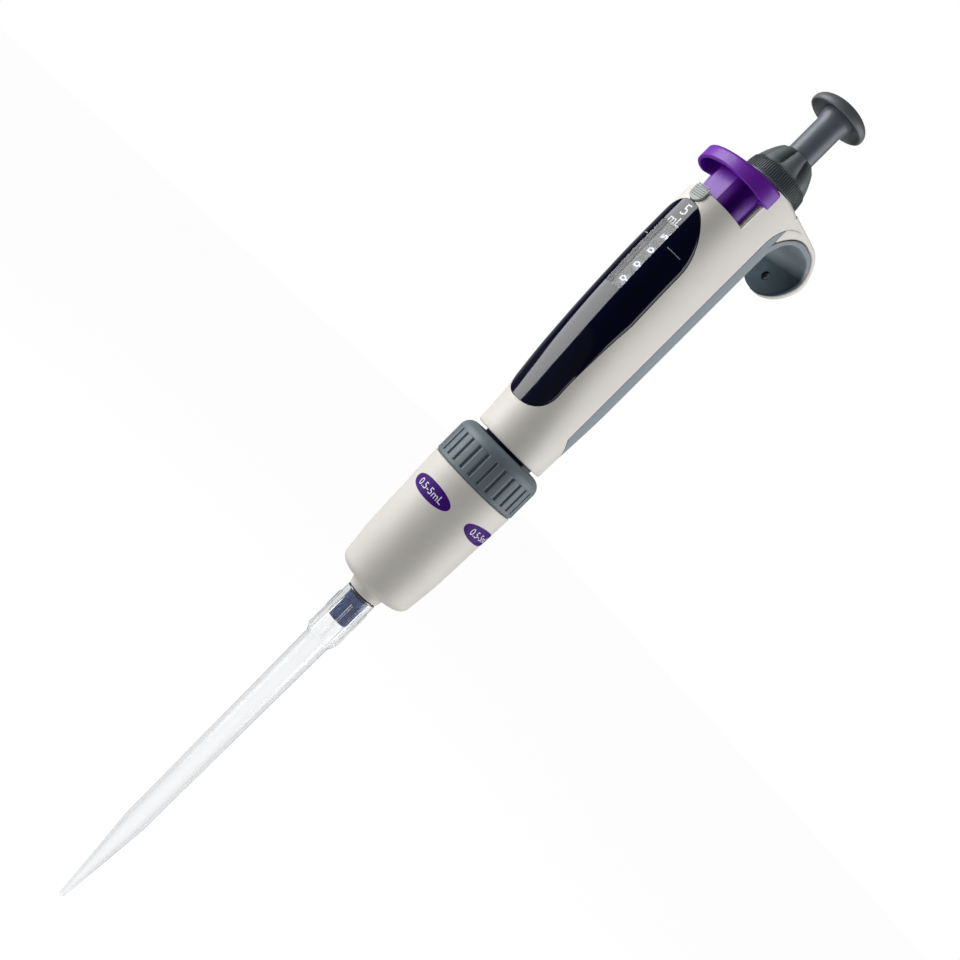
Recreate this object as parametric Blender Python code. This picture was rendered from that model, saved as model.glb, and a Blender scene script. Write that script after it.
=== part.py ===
"""Air-displacement micropipette for 0.5 to 5 mL, standing upright as it hangs from its finger hook.

Heights follow one another up the pipette's axis (Z), from the top of the tip; a tip of the standard
length ends at height 0. The window and the ejector face -Y, the hook +Y. One empty carries all parts
and puts the origin on the hook's rest.
"""
import math

import bmesh
import bpy
from mathutils import Matrix, Vector

MM = 0.001
MERGE = 0.002 * MM

# clearances between parts
GAP = 0.3 * MM
RUN = 0.35 * MM
SLOT_PLAY = 0.4 * MM
# how far shapes that are fused into one part reach past each other's faces
BLEND = 0.15 * MM
# how far cutting shapes stand out beyond the face that they cut
REACH = 1.0 * MM

# how finely round parts are divided
FINE = 32
ROUND = 24
SMALL = 16
TINY = 10
# angles in degrees at which a rounded shoulder is drawn
ROUNDING = (30, 60, 90)

# radius and wall of the ring nut, which the sleeve follows
NUT_R = 18.05 * MM
NUT_WALL = 1.75 * MM

# disposable tip
TIP_TOP_Z = 150.0 * MM
TIP_LENGTH = 150.0 * MM
TIP_END_R = 1.05 * MM
TIP_END_WALL = 0.5 * MM
TIP_CONE_LENGTH = 36.5 * MM
TIP_CONE_R = 4.3 * MM
TIP_TUBE_R = 5.1 * MM
TIP_STEP_Z = TIP_TOP_Z - 22.5 * MM
TIP_STEP_LENGTH = 2.2 * MM
TIP_COLLAR_R = 6.2 * MM
TIP_WALL = 0.75 * MM
TIP_RIB_COUNT = 8
TIP_RIB_DEPTH = 0.45 * MM
TIP_RIB_WIDTH = 0.9 * MM
TIP_RIB_TOP = 4.0 * MM
TIP_SEAT = 12.4 * MM
TIP_TO_SLEEVE = 0.4 * MM

# nozzle, its ring and its filter
NOZZLE_R = 4.3 * MM
NOZZLE_BORE_R = 1.6 * MM
NOZZLE_LEAD = 0.7 * MM
NOZZLE_FLANGE = 1.0 * MM
FILTER_R = 2.5 * MM
FILTER_LENGTH = 8.0 * MM
O_RING_WIRE_R = 0.7 * MM
O_RING_BELOW_TIP_TOP = 0.9 * MM

# measuring cylinder and piston: 13.5 mm of stroke displaces 5 mL
CYLINDER_BORE_R = 10.9 * MM
CYLINDER_WALL = 2.0 * MM
CYLINDER_FLOOR = 2.0 * MM
CYLINDER_CHAMFER = 1.5 * MM
CYLINDER_BOTTOM_Z = TIP_TOP_Z + 8.0 * MM
CYLINDER_TOP_Z = CYLINDER_BOTTOM_Z + 46.7 * MM
MEASURE_STROKE = 13.5 * MM
BLOWOUT_STROKE = 2.5 * MM
PLUNGER_TRAVEL = MEASURE_STROKE + BLOWOUT_STROKE
PISTON_LENGTH = 14.0 * MM
PISTON_CLEARANCE = 0.7 * MM
PISTON_END_ROOM = 0.8 * MM
PISTON_EDGE = 0.8 * MM
SEAL_HEIGHT = 2.4 * MM
SEAL_GROOVE_DEPTH = 1.4 * MM
SEAL_FROM_BOTTOM = 3.0 * MM
ROD_R = 2.0 * MM
ROD_IN_STEM = 26.0 * MM
ROD_IN_PISTON = 6.0 * MM

# cylinder head with the neck that enters the handle
HEAD_FLANGE = 2.3 * MM
HEAD_SPIGOT = 3.0 * MM
NECK_R = 10.2 * MM
NECK_WALL = 1.3 * MM
NECK_IN_HANDLE = 8.9 * MM
SPRING_FLOOR_Z = CYLINDER_TOP_Z + 7.3 * MM

# ejector sleeve, the white lower barrel
NOSE_LENGTH = 4.2 * MM
NOSE_R = 6.5 * MM
NOSE_TOP_R = 7.4 * MM
NOSE_EDGE = 0.8 * MM
NOSE_BORE_R = 5.3 * MM
BARREL_CORNER_R = 4.0 * MM
BARREL_BOTTOM_R = 15.3 * MM
BARREL_BELLY_R = 16.5 * MM
BARREL_BELLY_SHARE = 0.3
BARREL_TAPER = 0.7 * MM
BARREL_TAPER_HEIGHT = 15.0 * MM
BARREL_TOP_R = NUT_R - 0.05 * MM
BARREL_TOP_Z = CYLINDER_TOP_Z + 0.5 * MM
BARREL_WALL = 1.7 * MM
SLEEVE_COLLAR_R = NUT_R - NUT_WALL - GAP
SLEEVE_COLLAR_WALL = 1.6 * MM
SLEEVE_COLLAR_HEIGHT = 7.8 * MM

# ring nut
NUT_TOP_Z = BARREL_TOP_Z + 16.5 * MM
NUT_HOLE_R = 12.1 * MM
NUT_SHOULDER_R = 4.4 * MM
NUT_CHAMFER = 0.8 * MM
NUT_FLUTES = 28
NUT_FLUTE_DEPTH = 0.7 * MM
NUT_FLUTE_FROM = 1.6 * MM
NUT_FLUTE_TO = 12.6 * MM
NUT_FLUTE_RUNOUT = 0.7 * MM
NUT_TO_HANDLE = 1.4 * MM

# handle housing
HANDLE_BOTTOM_Z = NUT_TOP_Z + NUT_TO_HANDLE
HANDLE_TOP_Z = HANDLE_BOTTOM_Z + 130.0 * MM
HANDLE_BOTTOM_R = 14.75 * MM
HANDLE_HALF_WIDTH = 14.7 * MM
HANDLE_REAR = 15.0 * MM
HANDLE_EDGE = 0.6 * MM
HANDLE_SHOULDER = 1.8 * MM
HANDLE_SQUARENESS = 2.5
HANDLE_ROUND_Z = HANDLE_BOTTOM_Z + 34.9 * MM
GRIP_THICKNESS = 1.2 * MM
HANDLE_WALL = 2.7 * MM
HANDLE_FLOOR = 3.0 * MM
HANDLE_ROOF = 2.4 * MM
LEDGE_Z = HANDLE_TOP_Z - 19.7 * MM
LEDGE_THICKNESS = 2.4 * MM
TOWER_FRONT = 10.6 * MM
TOWER_WALL = 1.5 * MM

# ejector fork: a yoke ring in the nut and two arms beside the mechanism
EJECT_TRAVEL = 5.5 * MM
YOKE_THICKNESS = 3.0 * MM
ARM_INNER_R = NECK_R + GAP
ARM_THICKNESS = 1.1 * MM
ARM_FROM_DEG = -3.0
ARM_TO_DEG = 33.0
ARM_JOG_Z = LEDGE_Z - 39.4 * MM
ARM_JOG_HEIGHT = 6.0 * MM
ARM_UPPER_X = 8.8 * MM
ARM_UPPER_THICKNESS = 1.3 * MM
ARM_UPPER_DEPTH = 4.0 * MM
ARM_UPPER_FRONT_DROP = 9.0 * MM

# how far the front of the handle stands out at each height
FRONT_STATIONS = (
    (HANDLE_BOTTOM_Z, 14.75 * MM),
    (HANDLE_BOTTOM_Z + 11.9 * MM, 15.6 * MM),
    (HANDLE_BOTTOM_Z + 23.9 * MM, 17.0 * MM),
    (HANDLE_BOTTOM_Z + 37.9 * MM, 19.1 * MM),
    (HANDLE_BOTTOM_Z + 51.9 * MM, 20.8 * MM),
    (HANDLE_BOTTOM_Z + 65.9 * MM, 22.0 * MM),
    (HANDLE_BOTTOM_Z + 80.9 * MM, 22.8 * MM),
    (HANDLE_BOTTOM_Z + 109.9 * MM, 23.0 * MM),
    (HANDLE_BOTTOM_Z + 130.0 * MM, 22.6 * MM),
)

# finger hook: inner arch, flat rest at its crown, and lip
HOOK_HALF_WIDTH = 14.0 * MM
HOOK_REST_Z = HANDLE_TOP_Z - 6.1 * MM
HOOK_ARCH_Z = HOOK_REST_Z - 11.0 * MM
HOOK_REST_FROM = 21.5 * MM
HOOK_REST_TO = 26.5 * MM
HOOK_LIP_Y = 33.0 * MM
HOOK_LIP_Z = HOOK_REST_Z - 10.0 * MM
HOOK_END_Y = 34.0 * MM
HOOK_END_Z = HOOK_REST_Z - 18.0 * MM
HOOK_SHELL_THICKNESS = 3.4 * MM
HOOK_LIP_THICKNESS = 2.2 * MM
HOOK_EDGE = 0.7 * MM
HOOK_EDGE_SHARE = 0.35
HOOK_END_HALF_WIDTH = 2.2 * MM
HOOK_ROOT_Y = 6.0 * MM
LINING_THICKNESS = 2.4 * MM
LINING_END_THICKNESS = 1.4 * MM
HOOK_SCREW_Z = HOOK_LIP_Z - 1.0 * MM
HOOK_SCREW_R = 1.5 * MM
HOOK_SCREW_HEAD = 1.0 * MM
HOOK_SCREW_SHANK_R = 0.7 * MM
HOOK_SCREW_SHANK = 1.2 * MM

# grip insert on the rear of the handle
GRIP_FRONT = 2.8 * MM
GRIP_POINT_Z = HANDLE_BOTTOM_Z + 5.9 * MM
GRIP_SLANT = 11.0 * MM
GRIP_ARCH_Z = HOOK_ARCH_Z

# window lens
LENS_HALF_WIDTH = 12.4 * MM
LENS_BOTTOM_Z = HANDLE_BOTTOM_Z + 14.7 * MM
LENS_TOP_Z = LEDGE_Z - 6.8 * MM
LENS_BOTTOM_HEIGHT = 12.2 * MM
LENS_BOTTOM_SQUARENESS = 2.6
LENS_TOP_HEIGHT = 21.6 * MM
LENS_TOP_SQUARENESS = 2.2
LENS_END_STEPS = 12
LENS_THICKNESS = 1.5 * MM
LENS_PROUD = 0.15 * MM

# lock slide above the window
LOCK_WIDTH = 6.6 * MM
LOCK_BOTTOM_Z = LEDGE_Z - 6.4 * MM
LOCK_HEIGHT = 7.0 * MM
LOCK_BACK = 21.7 * MM
LOCK_FRONT = 24.2 * MM
LOCK_RIBS = 4
LOCK_RIB_DEPTH = 0.35 * MM
LOCK_GROOVE_SHARE = 0.4

# counter: drums on an axle in front of the lead screw
COUNTER_Y = 13.5 * MM
DRUM_R = 5.5 * MM
DRUM_BAND = 4.2 * MM
DRUM_PITCH = 6.7 * MM
ZERO_RING_Z = HANDLE_TOP_Z - 60.8 * MM
COUNTER_AXLE_R = 1.2 * MM
DRUM_DISC_R = 3.5 * MM
DRUM_DISC = 1.0 * MM
COUNTER_MODULE = 0.75 * MM
DRIVE_TEETH = 24
INPUT_TEETH = 12
GEAR_Z = ZERO_RING_Z - 8.3 * MM
GEAR_WIDTH = 3.0 * MM
CARRY_MODULE = 0.45 * MM
DRUM_TEETH = 20
PINION_TEETH = 8
DRUM_GEAR_WIDTH = 1.2 * MM
CARRY_AXLE_R = 0.5 * MM
PINION_BORE_R = 0.72 * MM
TOOTH_TIP_SHARE = 0.24
TOOTH_ROOT_SHARE = 0.54
FRAME_PLATE = 1.5 * MM
FRAME_BOTTOM_Z = GEAR_Z - 3.2 * MM
FRAME_TOP_Z = ZERO_RING_Z + 26.2 * MM
FRAME_REAR = 7.6 * MM
FRAME_ARM_X = 8.4 * MM
FRAME_ARM_Y = 13.0 * MM
FRAME_WALL = 1.2 * MM
WINDOW_HALF_WIDTH = 4.6 * MM
WINDOW_MARGIN = 2.2 * MM

# drive from the knob to the counter and the volume stop
CORE_R = 9.9 * MM
CORE_WALL = 1.0 * MM
LEAD_NUT_Z = FRAME_BOTTOM_Z - 10.8 * MM
LEAD_NUT_HEIGHT = 4.0 * MM
LEAD_NUT_SPIGOT = 4.0 * MM
LEAD_NUT_KEY = 3.0 * MM
LEAD_SCREW_R = 5.2 * MM
LEAD_SCREW_BORE_R = 2.4 * MM
LEAD_SCREW_HEAD = 8.0 * MM
THREAD_LEAD = 0.8 * MM
COLLAR_TOP_Z = LEAD_NUT_Z - 15.0 * MM
COLLAR_HEIGHT = 3.0 * MM
COLLAR_R = 8.4 * MM
DRIVE_SLEEVE_R = 7.0 * MM
STEM_R = 5.4 * MM
STEM_BOTTOM_Z = FRAME_TOP_Z + 17.5 * MM
BUSH_R = 8.8 * MM
BUSH_FLANGE_R = 9.0 * MM
BUSH_FLANGE = 2.4 * MM

# volume knob
KNOB_R = 12.0 * MM
KNOB_HEIGHT = 15.2 * MM
KNOB_SOCKET = 6.3 * MM
KNOB_FLUTES = 8
KNOB_FLUTE_DEPTH = 1.5 * MM
KNOB_FLUTE_FROM = 2.7 * MM
KNOB_FLUTE_FULL = 8.7 * MM
KNOB_FLUTE_END = 0.80
KNOB_SHAPE = ((0.0, 1.0), (0.06, 1.0), (0.24, 0.975), (0.36, 0.94), (0.48, 0.885), (0.60, 0.815),
              (0.72, 0.735), (0.84, 0.65), (0.93, 0.57), (0.98, 0.51))

# push button
BUTTON_R = 11.75 * MM
BUTTON_RIM_Z = HANDLE_TOP_Z + KNOB_HEIGHT + 18.7 * MM
BUTTON_HEIGHT = 5.0 * MM
BUTTON_DOME = 3.6 * MM
BUTTON_EDGE = 0.3 * MM
BUTTON_PAD_R = 5.0 * MM
BUTTON_LIP = 1.1 * MM
BUTTON_HOLLOW = 1.6 * MM
BUTTON_SOCKET = 2.2 * MM
STEM_FLARE = 0.9 * MM
STEM_FLARE_LENGTH = 2.6 * MM

# ejector button: thumb pad on a T-shaped stem
PAD_TOP_Z = HANDLE_TOP_Z - 5.1 * MM
PAD_SKIRT = 5.0 * MM
PAD_SLOPE = 0.20
PAD_WALL = 1.3 * MM
PAD_ROOF = 1.8 * MM
PAD_EDGE = 1.5 * MM
PAD_FRONT = 27.0 * MM
PAD_NOSE_HALF = 11.6 * MM
PAD_NOSE_DEPTH = 12.6 * MM
PAD_WING_X = 15.6 * MM
PAD_WING_LENGTH = 3.2 * MM
PAD_WING_DEPTH = 2.6 * MM
PAD_CLEARANCE = 0.5 * MM
PAD_RIB = 0.6 * MM
PAD_RIB_RISE = 2.6 * MM
T_BLOCK_HALF = 4.6 * MM
T_BLOCK_FRONT = 20.0 * MM
T_WING_HALF = 12.0 * MM
T_WING_FRONT = 12.8 * MM
T_WING_REAR = 11.1 * MM
T_BOTTOM_Z = LEDGE_Z - 8.9 * MM
EJECT_SPRING_Y = 16.0 * MM
EJECT_SPRING_R = 2.4 * MM
EJECT_SPRING_WIRE_R = 0.35 * MM
EJECT_SPRING_LENGTH = 18.0 * MM

# plunger springs
PRIMARY_SPRING_R = 6.0 * MM
PRIMARY_SPRING_WIRE_R = 0.5 * MM
PRIMARY_SPRING_TURNS = 7
BLOWOUT_SPRING_R = 8.0 * MM
BLOWOUT_SPRING_WIRE_R = 0.45 * MM
BLOWOUT_SPRING_TURNS = 5
EJECT_SPRING_TURNS = 7


def clear_scene():
    """Start from an empty file."""
    for old in list(bpy.data.objects):
        bpy.data.objects.remove(old, do_unlink=True)


def make_finish(name, colour, roughness, metallic=0.0, alpha=1.0):
    """A plain Principled finish."""
    finish = bpy.data.materials.new(name)
    finish.use_nodes = True
    shader = finish.node_tree.nodes["Principled BSDF"]
    shader.inputs["Base Color"].default_value = (*colour, 1.0)
    shader.inputs["Roughness"].default_value = roughness
    shader.inputs["Metallic"].default_value = metallic
    shader.inputs["Alpha"].default_value = alpha
    return finish


clear_scene()
carrier = bpy.data.objects.new("hanging_point", None)
bpy.context.scene.collection.objects.link(carrier)
carrier.location = (0.0, -(HOOK_REST_FROM + HOOK_REST_TO) / 2, -HOOK_REST_Z)

BODY_WHITE = make_finish("body_white", (0.73, 0.70, 0.65), 0.45)
GRIP_GREY = make_finish("grip_grey", (0.16, 0.20, 0.23), 0.60)
KNOB_GREY = make_finish("knob_grey", (0.09, 0.10, 0.11), 0.45)
PURPLE = make_finish("ejector_purple", (0.12, 0.015, 0.30), 0.35)
LENS_NAVY = make_finish("lens_navy", (0.004, 0.005, 0.02), 0.08)
LOCK_GREY = make_finish("lock_grey", (0.36, 0.39, 0.38), 0.50)
NECK_NAVY = make_finish("neck_navy", (0.01, 0.015, 0.04), 0.40)
NOZZLE_BLUE = make_finish("nozzle_blue", (0.01, 0.06, 0.18), 0.35)
TIP_CLEAR = make_finish("tip_clear", (0.92, 0.94, 0.95), 0.15, alpha=0.35)
RUBBER_BLACK = make_finish("seal_black", (0.01, 0.01, 0.012), 0.70)
FILTER_WHITE = make_finish("filter_white", (0.85, 0.85, 0.83), 0.90)
STEEL = make_finish("steel", (0.60, 0.60, 0.61), 0.30, metallic=1.0)
BRASS = make_finish("brass", (0.60, 0.42, 0.16), 0.35, metallic=1.0)
DRUM_WHITE = make_finish("drum_white", (0.75, 0.75, 0.74), 0.50)
INNER_PLASTIC = make_finish("inner_plastic", (0.30, 0.31, 0.33), 0.50)


# shapes

def add_part(name, bm, finish, origin=(0.0, 0.0, 0.0)):
    """Link a closed shape as a part whose own origin lies at the given point."""
    bmesh.ops.translate(bm, verts=bm.verts, vec=-Vector(origin))
    bmesh.ops.recalc_face_normals(bm, faces=bm.faces)
    mesh = bpy.data.meshes.new(name)
    bm.to_mesh(mesh)
    bm.free()
    mesh.materials.append(finish)
    part = bpy.data.objects.new(name, mesh)
    bpy.context.scene.collection.objects.link(part)
    part.parent = carrier
    part.location = origin
    return part


def combine(part, bm, operation):
    """Cut, join or intersect a part with a loose shape."""
    tool = add_part("tool", bm, part.data.materials[0])
    step = part.modifiers.new("step", "BOOLEAN")
    step.operation = operation
    step.solver = "EXACT"
    step.object = tool
    bpy.context.view_layer.update()
    graph = bpy.context.evaluated_depsgraph_get()
    result = bpy.data.meshes.new_from_object(part.evaluated_get(graph))
    part.modifiers.clear()
    part.data = result
    bpy.data.objects.remove(tool, do_unlink=True)


def as_bmesh(part):
    """The shape of a part in the carrier's frame, and the part removed."""
    bm = bmesh.new()
    bm.from_mesh(part.data)
    bmesh.ops.translate(bm, verts=bm.verts, vec=part.location)
    bpy.data.objects.remove(part, do_unlink=True)
    return bm


def smooth(part, angle=35.0):
    """Shade a round part smooth and keep its edges sharp."""
    part.data.shade_smooth()
    part.data.set_sharp_from_angle(angle=math.radians(angle))


def lathe(profile, steps, centre=(0.0, 0.0)):
    """Spin a closed outline of (radius, height) points about a vertical line."""
    bm = bmesh.new()
    ring = [bm.verts.new((radius, 0.0, height)) for radius, height in profile]
    edges = []
    for here, there in zip(ring, ring[1:] + ring[:1]):
        if here.co.x > 0.0 or there.co.x > 0.0:
            edges.append(bm.edges.new((here, there)))
    bmesh.ops.spin(bm, geom=ring + edges, axis=(0, 0, 1), cent=(0, 0, 0), steps=steps, angle=math.tau)
    bmesh.ops.remove_doubles(bm, verts=bm.verts, dist=MERGE)
    bmesh.ops.translate(bm, verts=bm.verts, vec=(centre[0], centre[1], 0.0))
    return bm


def tube(outer, inner, bottom, top, steps, centre=(0.0, 0.0)):
    """A plain ring or tube."""
    return lathe(((inner, bottom), (outer, bottom), (outer, top), (inner, top)), steps, centre)


def rod(radius, bottom, top, steps, centre=(0.0, 0.0)):
    """A plain round bar."""
    return lathe(((0.0, bottom), (radius, bottom), (radius, top), (0.0, top)), steps, centre)


def loft(sections):
    """Skin a row of rings that have equal numbers of points, and close both ends."""
    bm = bmesh.new()
    rings = [[bm.verts.new(point) for point in section] for section in sections]
    for lower, upper in zip(rings, rings[1:]):
        for i in range(len(lower)):
            j = (i + 1) % len(lower)
            bm.faces.new((lower[i], lower[j], upper[j], upper[i]))
    bm.faces.new(rings[0])
    bm.faces.new(rings[-1])
    return bm


def prism(outline, bottom, top):
    """An outline of (x, y) points, extruded upwards."""
    return loft([[(x, y, height) for x, y in outline] for height in (bottom, top)])


def side_prism(outline, half_width):
    """An outline of (y, z) points, extruded across the handle."""
    return loft([[(x, y, z) for y, z in outline] for x in (-half_width, half_width)])


def front_prism(outline, rear, front):
    """An outline of (x, z) points, extruded along Y."""
    return loft([[(x, y, z) for x, z in outline] for y in (rear, front)])


def block(x0, x1, y0, y1, z0, z1):
    """A straight block between two corners."""
    return prism(((x0, y0), (x1, y0), (x1, y1), (x0, y1)), z0, z1)


def arc(centre, radii, start, end, steps):
    """Points on an ellipse between two angles in degrees."""
    points = []
    for i in range(steps + 1):
        angle = math.radians(start + (end - start) * i / steps)
        points.append((centre[0] + radii[0] * math.cos(angle), centre[1] + radii[1] * math.sin(angle)))
    return points


def coil(radius, wire, bottom, top, turns, centre=(0.0, 0.0), per_turn=10, sides=5):
    """A compression spring with a closed turn at each end."""
    end_rise = 2.5 * wire
    rise = top - bottom - 2 * wire - 2 * end_rise
    sections = []
    for i in range(turns * per_turn + 1):
        turn = i / per_turn
        middle = min(max(turn - 1.0, 0.0), turns - 2.0)
        ends = min(turn, 1.0) + max(turn - turns + 1.0, 0.0)
        height = bottom + wire + end_rise * ends + rise * middle / (turns - 2.0)
        angle = math.tau * turn
        out = Vector((math.cos(angle), math.sin(angle), 0.0))
        middle_point = Vector((centre[0], centre[1], height)) + radius * out
        section = []
        for k in range(sides):
            around = math.tau * k / sides
            offset = wire * math.cos(around) * out + wire * math.sin(around) * Vector((0, 0, 1))
            section.append(middle_point + offset)
        sections.append(section)
    return loft(sections)


def gear(teeth, module, bore, bottom, top, centre, phase, addendum=0.75, dedendum=1.25):
    """A straight-toothed gear with flat flanks and room for play."""
    pitch_r = teeth * module / 2
    tip_r = pitch_r + addendum * module
    root_r = pitch_r - dedendum * module
    step = math.tau / teeth
    corners = ((root_r, -TOOTH_ROOT_SHARE), (tip_r, -TOOTH_TIP_SHARE), (tip_r, TOOTH_TIP_SHARE),
               (root_r, TOOTH_ROOT_SHARE))
    outline = []
    hole = []
    for k in range(teeth):
        for radius, share in corners:
            angle = phase + step * (k + share / 2)
            direction = Vector((math.cos(angle), math.sin(angle)))
            outline.append(Vector(centre) + radius * direction)
            hole.append(Vector(centre) + bore * direction)
    sections = []
    for ring, height in ((hole, bottom), (outline, bottom), (outline, top), (hole, top)):
        sections.append([(x, y, height) for x, y in ring])
    bm = bmesh.new()
    rings = [[bm.verts.new(point) for point in section] for section in sections]
    for lower, upper in zip(rings, rings[1:] + rings[:1]):
        for i in range(len(lower)):
            j = (i + 1) % len(lower)
            bm.faces.new((lower[i], lower[j], upper[j], upper[i]))
    return bm


# the handle's outer form

def smoothstep(value, low, high):
    """A soft ramp from 0 to 1."""
    share = min(max((value - low) / (high - low), 0.0), 1.0)
    return share * share * (3 - 2 * share)


def front_reach(height):
    """How far the front stands out at a height, read between the stations."""
    for (z0, y0), (z1, y1) in zip(FRONT_STATIONS, FRONT_STATIONS[1:]):
        if height <= z1:
            return y0 + (y1 - y0) * (height - z0) / (z1 - z0)
    return FRONT_STATIONS[-1][1]


def handle_section(height, inset, steps=FINE):
    """The handle's cross-section: a circle at the foot that turns into a rounded oblong."""
    share = smoothstep(height, HANDLE_BOTTOM_Z, HANDLE_ROUND_Z)
    power = 2 / (2 + (HANDLE_SQUARENESS - 2) * share)
    width = HANDLE_BOTTOM_R + (HANDLE_HALF_WIDTH - HANDLE_BOTTOM_R) * share - inset
    rear = HANDLE_BOTTOM_R + (HANDLE_REAR - HANDLE_BOTTOM_R) * share - inset
    front = front_reach(height) - inset
    points = []
    for i in range(steps):
        angle = math.tau * i / steps
        c, s = math.cos(angle), math.sin(angle)
        reach = rear if s > 0 else front
        x = width * math.copysign(abs(c) ** power, c)
        y = reach * math.copysign(abs(s) ** power, s)
        points.append((x, y, height))
    return points


def handle_form(inset, bottom, top, edge=0.0, shoulder=0.0):
    """The handle's outer form, or a copy of it moved inwards, between two heights."""
    heights = [z for z, _ in FRONT_STATIONS[1:-1] if bottom + edge + REACH < z < top - shoulder - REACH]
    sections = []
    if edge:
        sections.append(handle_section(bottom, inset + edge))
    sections.append(handle_section(bottom + edge, inset))
    sections += [handle_section(z, inset) for z in heights]
    sections.append(handle_section(top - shoulder, inset))
    if shoulder:
        for angle in ROUNDING:
            lift = shoulder * math.sin(math.radians(angle))
            step_in = shoulder * (1 - math.cos(math.radians(angle)))
            section = handle_section(top - shoulder, inset + step_in)
            sections.append([(x, y, top - shoulder + lift) for x, y, _ in section])
    return loft(sections)


# the hook's arch; the path reaches the crown after this many steps
CROWN_STEPS = 6


def hook_path():
    """Points up the handle's rear, round the arch, along the rest and down the lip."""
    inner_width = HOOK_REST_FROM - HANDLE_REAR - BLEND
    path = arc((HOOK_REST_FROM, HOOK_ARCH_Z), (inner_width, HOOK_REST_Z - HOOK_ARCH_Z), 180, 90, CROWN_STEPS)
    lip_reach = (HOOK_LIP_Y - HOOK_REST_TO, HOOK_REST_Z - HOOK_LIP_Z)
    path += arc((HOOK_REST_TO, HOOK_LIP_Z), lip_reach, 90, 0, CROWN_STEPS)
    straight = math.hypot(HOOK_END_Y - HOOK_LIP_Y, HOOK_LIP_Z - HOOK_END_Z)
    steps = 5
    for i in range(1, steps + 1):
        share = math.sin(math.pi / 2 * i / steps)
        path.append((HOOK_LIP_Y + (HOOK_END_Y - HOOK_LIP_Y) * share, HOOK_LIP_Z - straight * share))
    return path


def hook_band(path, inner, outer, half_width, edge):
    """A band along a path: inner and outer give its two faces as distances from the path."""
    sections = []
    end_z = path[-1][1]
    for i, (y, z) in enumerate(path):
        before = path[max(i - 1, 0)]
        after = path[min(i + 1, len(path) - 1)]
        along = Vector((after[0] - before[0], after[1] - before[1])).normalized()
        away = Vector((-along.y, along.x))
        low = inner(i)
        high = outer(i)
        to_end = z - end_z
        is_lip = y > HOOK_REST_TO and to_end < half_width
        width = half_width
        if is_lip:
            width = math.sqrt(max(half_width ** 2 - (half_width - to_end) ** 2, 0.0))
            width = max(width, HOOK_END_HALF_WIDTH)
        soft = min(edge, HOOK_EDGE_SHARE * (high - low))
        ring = ((-width, low + soft), (-width + soft, low), (width - soft, low), (width, low + soft),
                (width, high - soft), (width - soft, high), (-width + soft, high), (-width, high - soft))
        sections.append([(x, y + away.x * n, z + away.y * n) for x, n in ring])
    return loft(sections)


HOOK_PATH = hook_path()


def lining_outer(i):
    """The lining thickens from the grip to the crown and thins again towards the lip."""
    start = GRIP_THICKNESS - BLEND
    rising = start + (LINING_THICKNESS - start) * min(i / CROWN_STEPS, 1.0)
    past_crown = (i - CROWN_STEPS) / (len(HOOK_PATH) - CROWN_STEPS)
    falling = LINING_THICKNESS + (LINING_END_THICKNESS - LINING_THICKNESS) * past_crown
    return rising if i < CROWN_STEPS else falling


def make_grip():
    """Soft grip on the rear of the handle, in one piece with the lining of the hook."""
    grip = add_part("grip_insert", handle_form(0.0, HANDLE_BOTTOM_Z + HANDLE_EDGE, HANDLE_TOP_Z),
                    GRIP_GREY)
    combine(grip, side_prism(grip_outline(0.0), 2 * HANDLE_HALF_WIDTH), "INTERSECT")
    core = handle_form(GRIP_THICKNESS, HANDLE_BOTTOM_Z - REACH, HANDLE_TOP_Z + REACH)
    combine(grip, core, "DIFFERENCE")
    lining = hook_band(HOOK_PATH, lambda i: 0.0, lining_outer, HOOK_HALF_WIDTH, HOOK_EDGE)
    combine(grip, lining, "UNION")
    combine(grip, screw_hole(HOOK_SCREW_R + GAP, HOOK_SCREW_HEAD + GAP), "DIFFERENCE")
    combine(grip, screw_hole(HOOK_SCREW_SHANK_R + GAP, 2 * LINING_THICKNESS), "DIFFERENCE")
    smooth(grip)
    return grip


def grip_outline(grow):
    """Side view of the grip: pointed foot, straight front edge and an arch under the hook."""
    front = GRIP_FRONT - grow
    rear = HANDLE_REAR + 2 * REACH
    top = HOOK_REST_Z + LINING_THICKNESS + grow
    points = [(rear, GRIP_POINT_Z - grow), (HANDLE_REAR - REACH, GRIP_POINT_Z - grow)]
    points.append((front, GRIP_POINT_Z + GRIP_SLANT - grow))
    points += arc((rear, GRIP_ARCH_Z), (rear - front, top - GRIP_ARCH_Z), 180, 90, 8)
    return points


def screw_hole(radius, depth):
    """A round hole into the lip from the finger side."""
    share = (HOOK_LIP_Z - HOOK_SCREW_Z) / (HOOK_LIP_Z - HOOK_END_Z)
    face = HOOK_LIP_Y + (HOOK_END_Y - HOOK_LIP_Y) * share
    bm = rod(radius, -REACH, depth, SMALL)
    bmesh.ops.rotate(bm, verts=bm.verts, cent=(0, 0, 0), matrix=Matrix.Rotation(-math.pi / 2, 3, "X"))
    bmesh.ops.translate(bm, verts=bm.verts, vec=(0.0, face, HOOK_SCREW_Z))
    return bm


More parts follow.
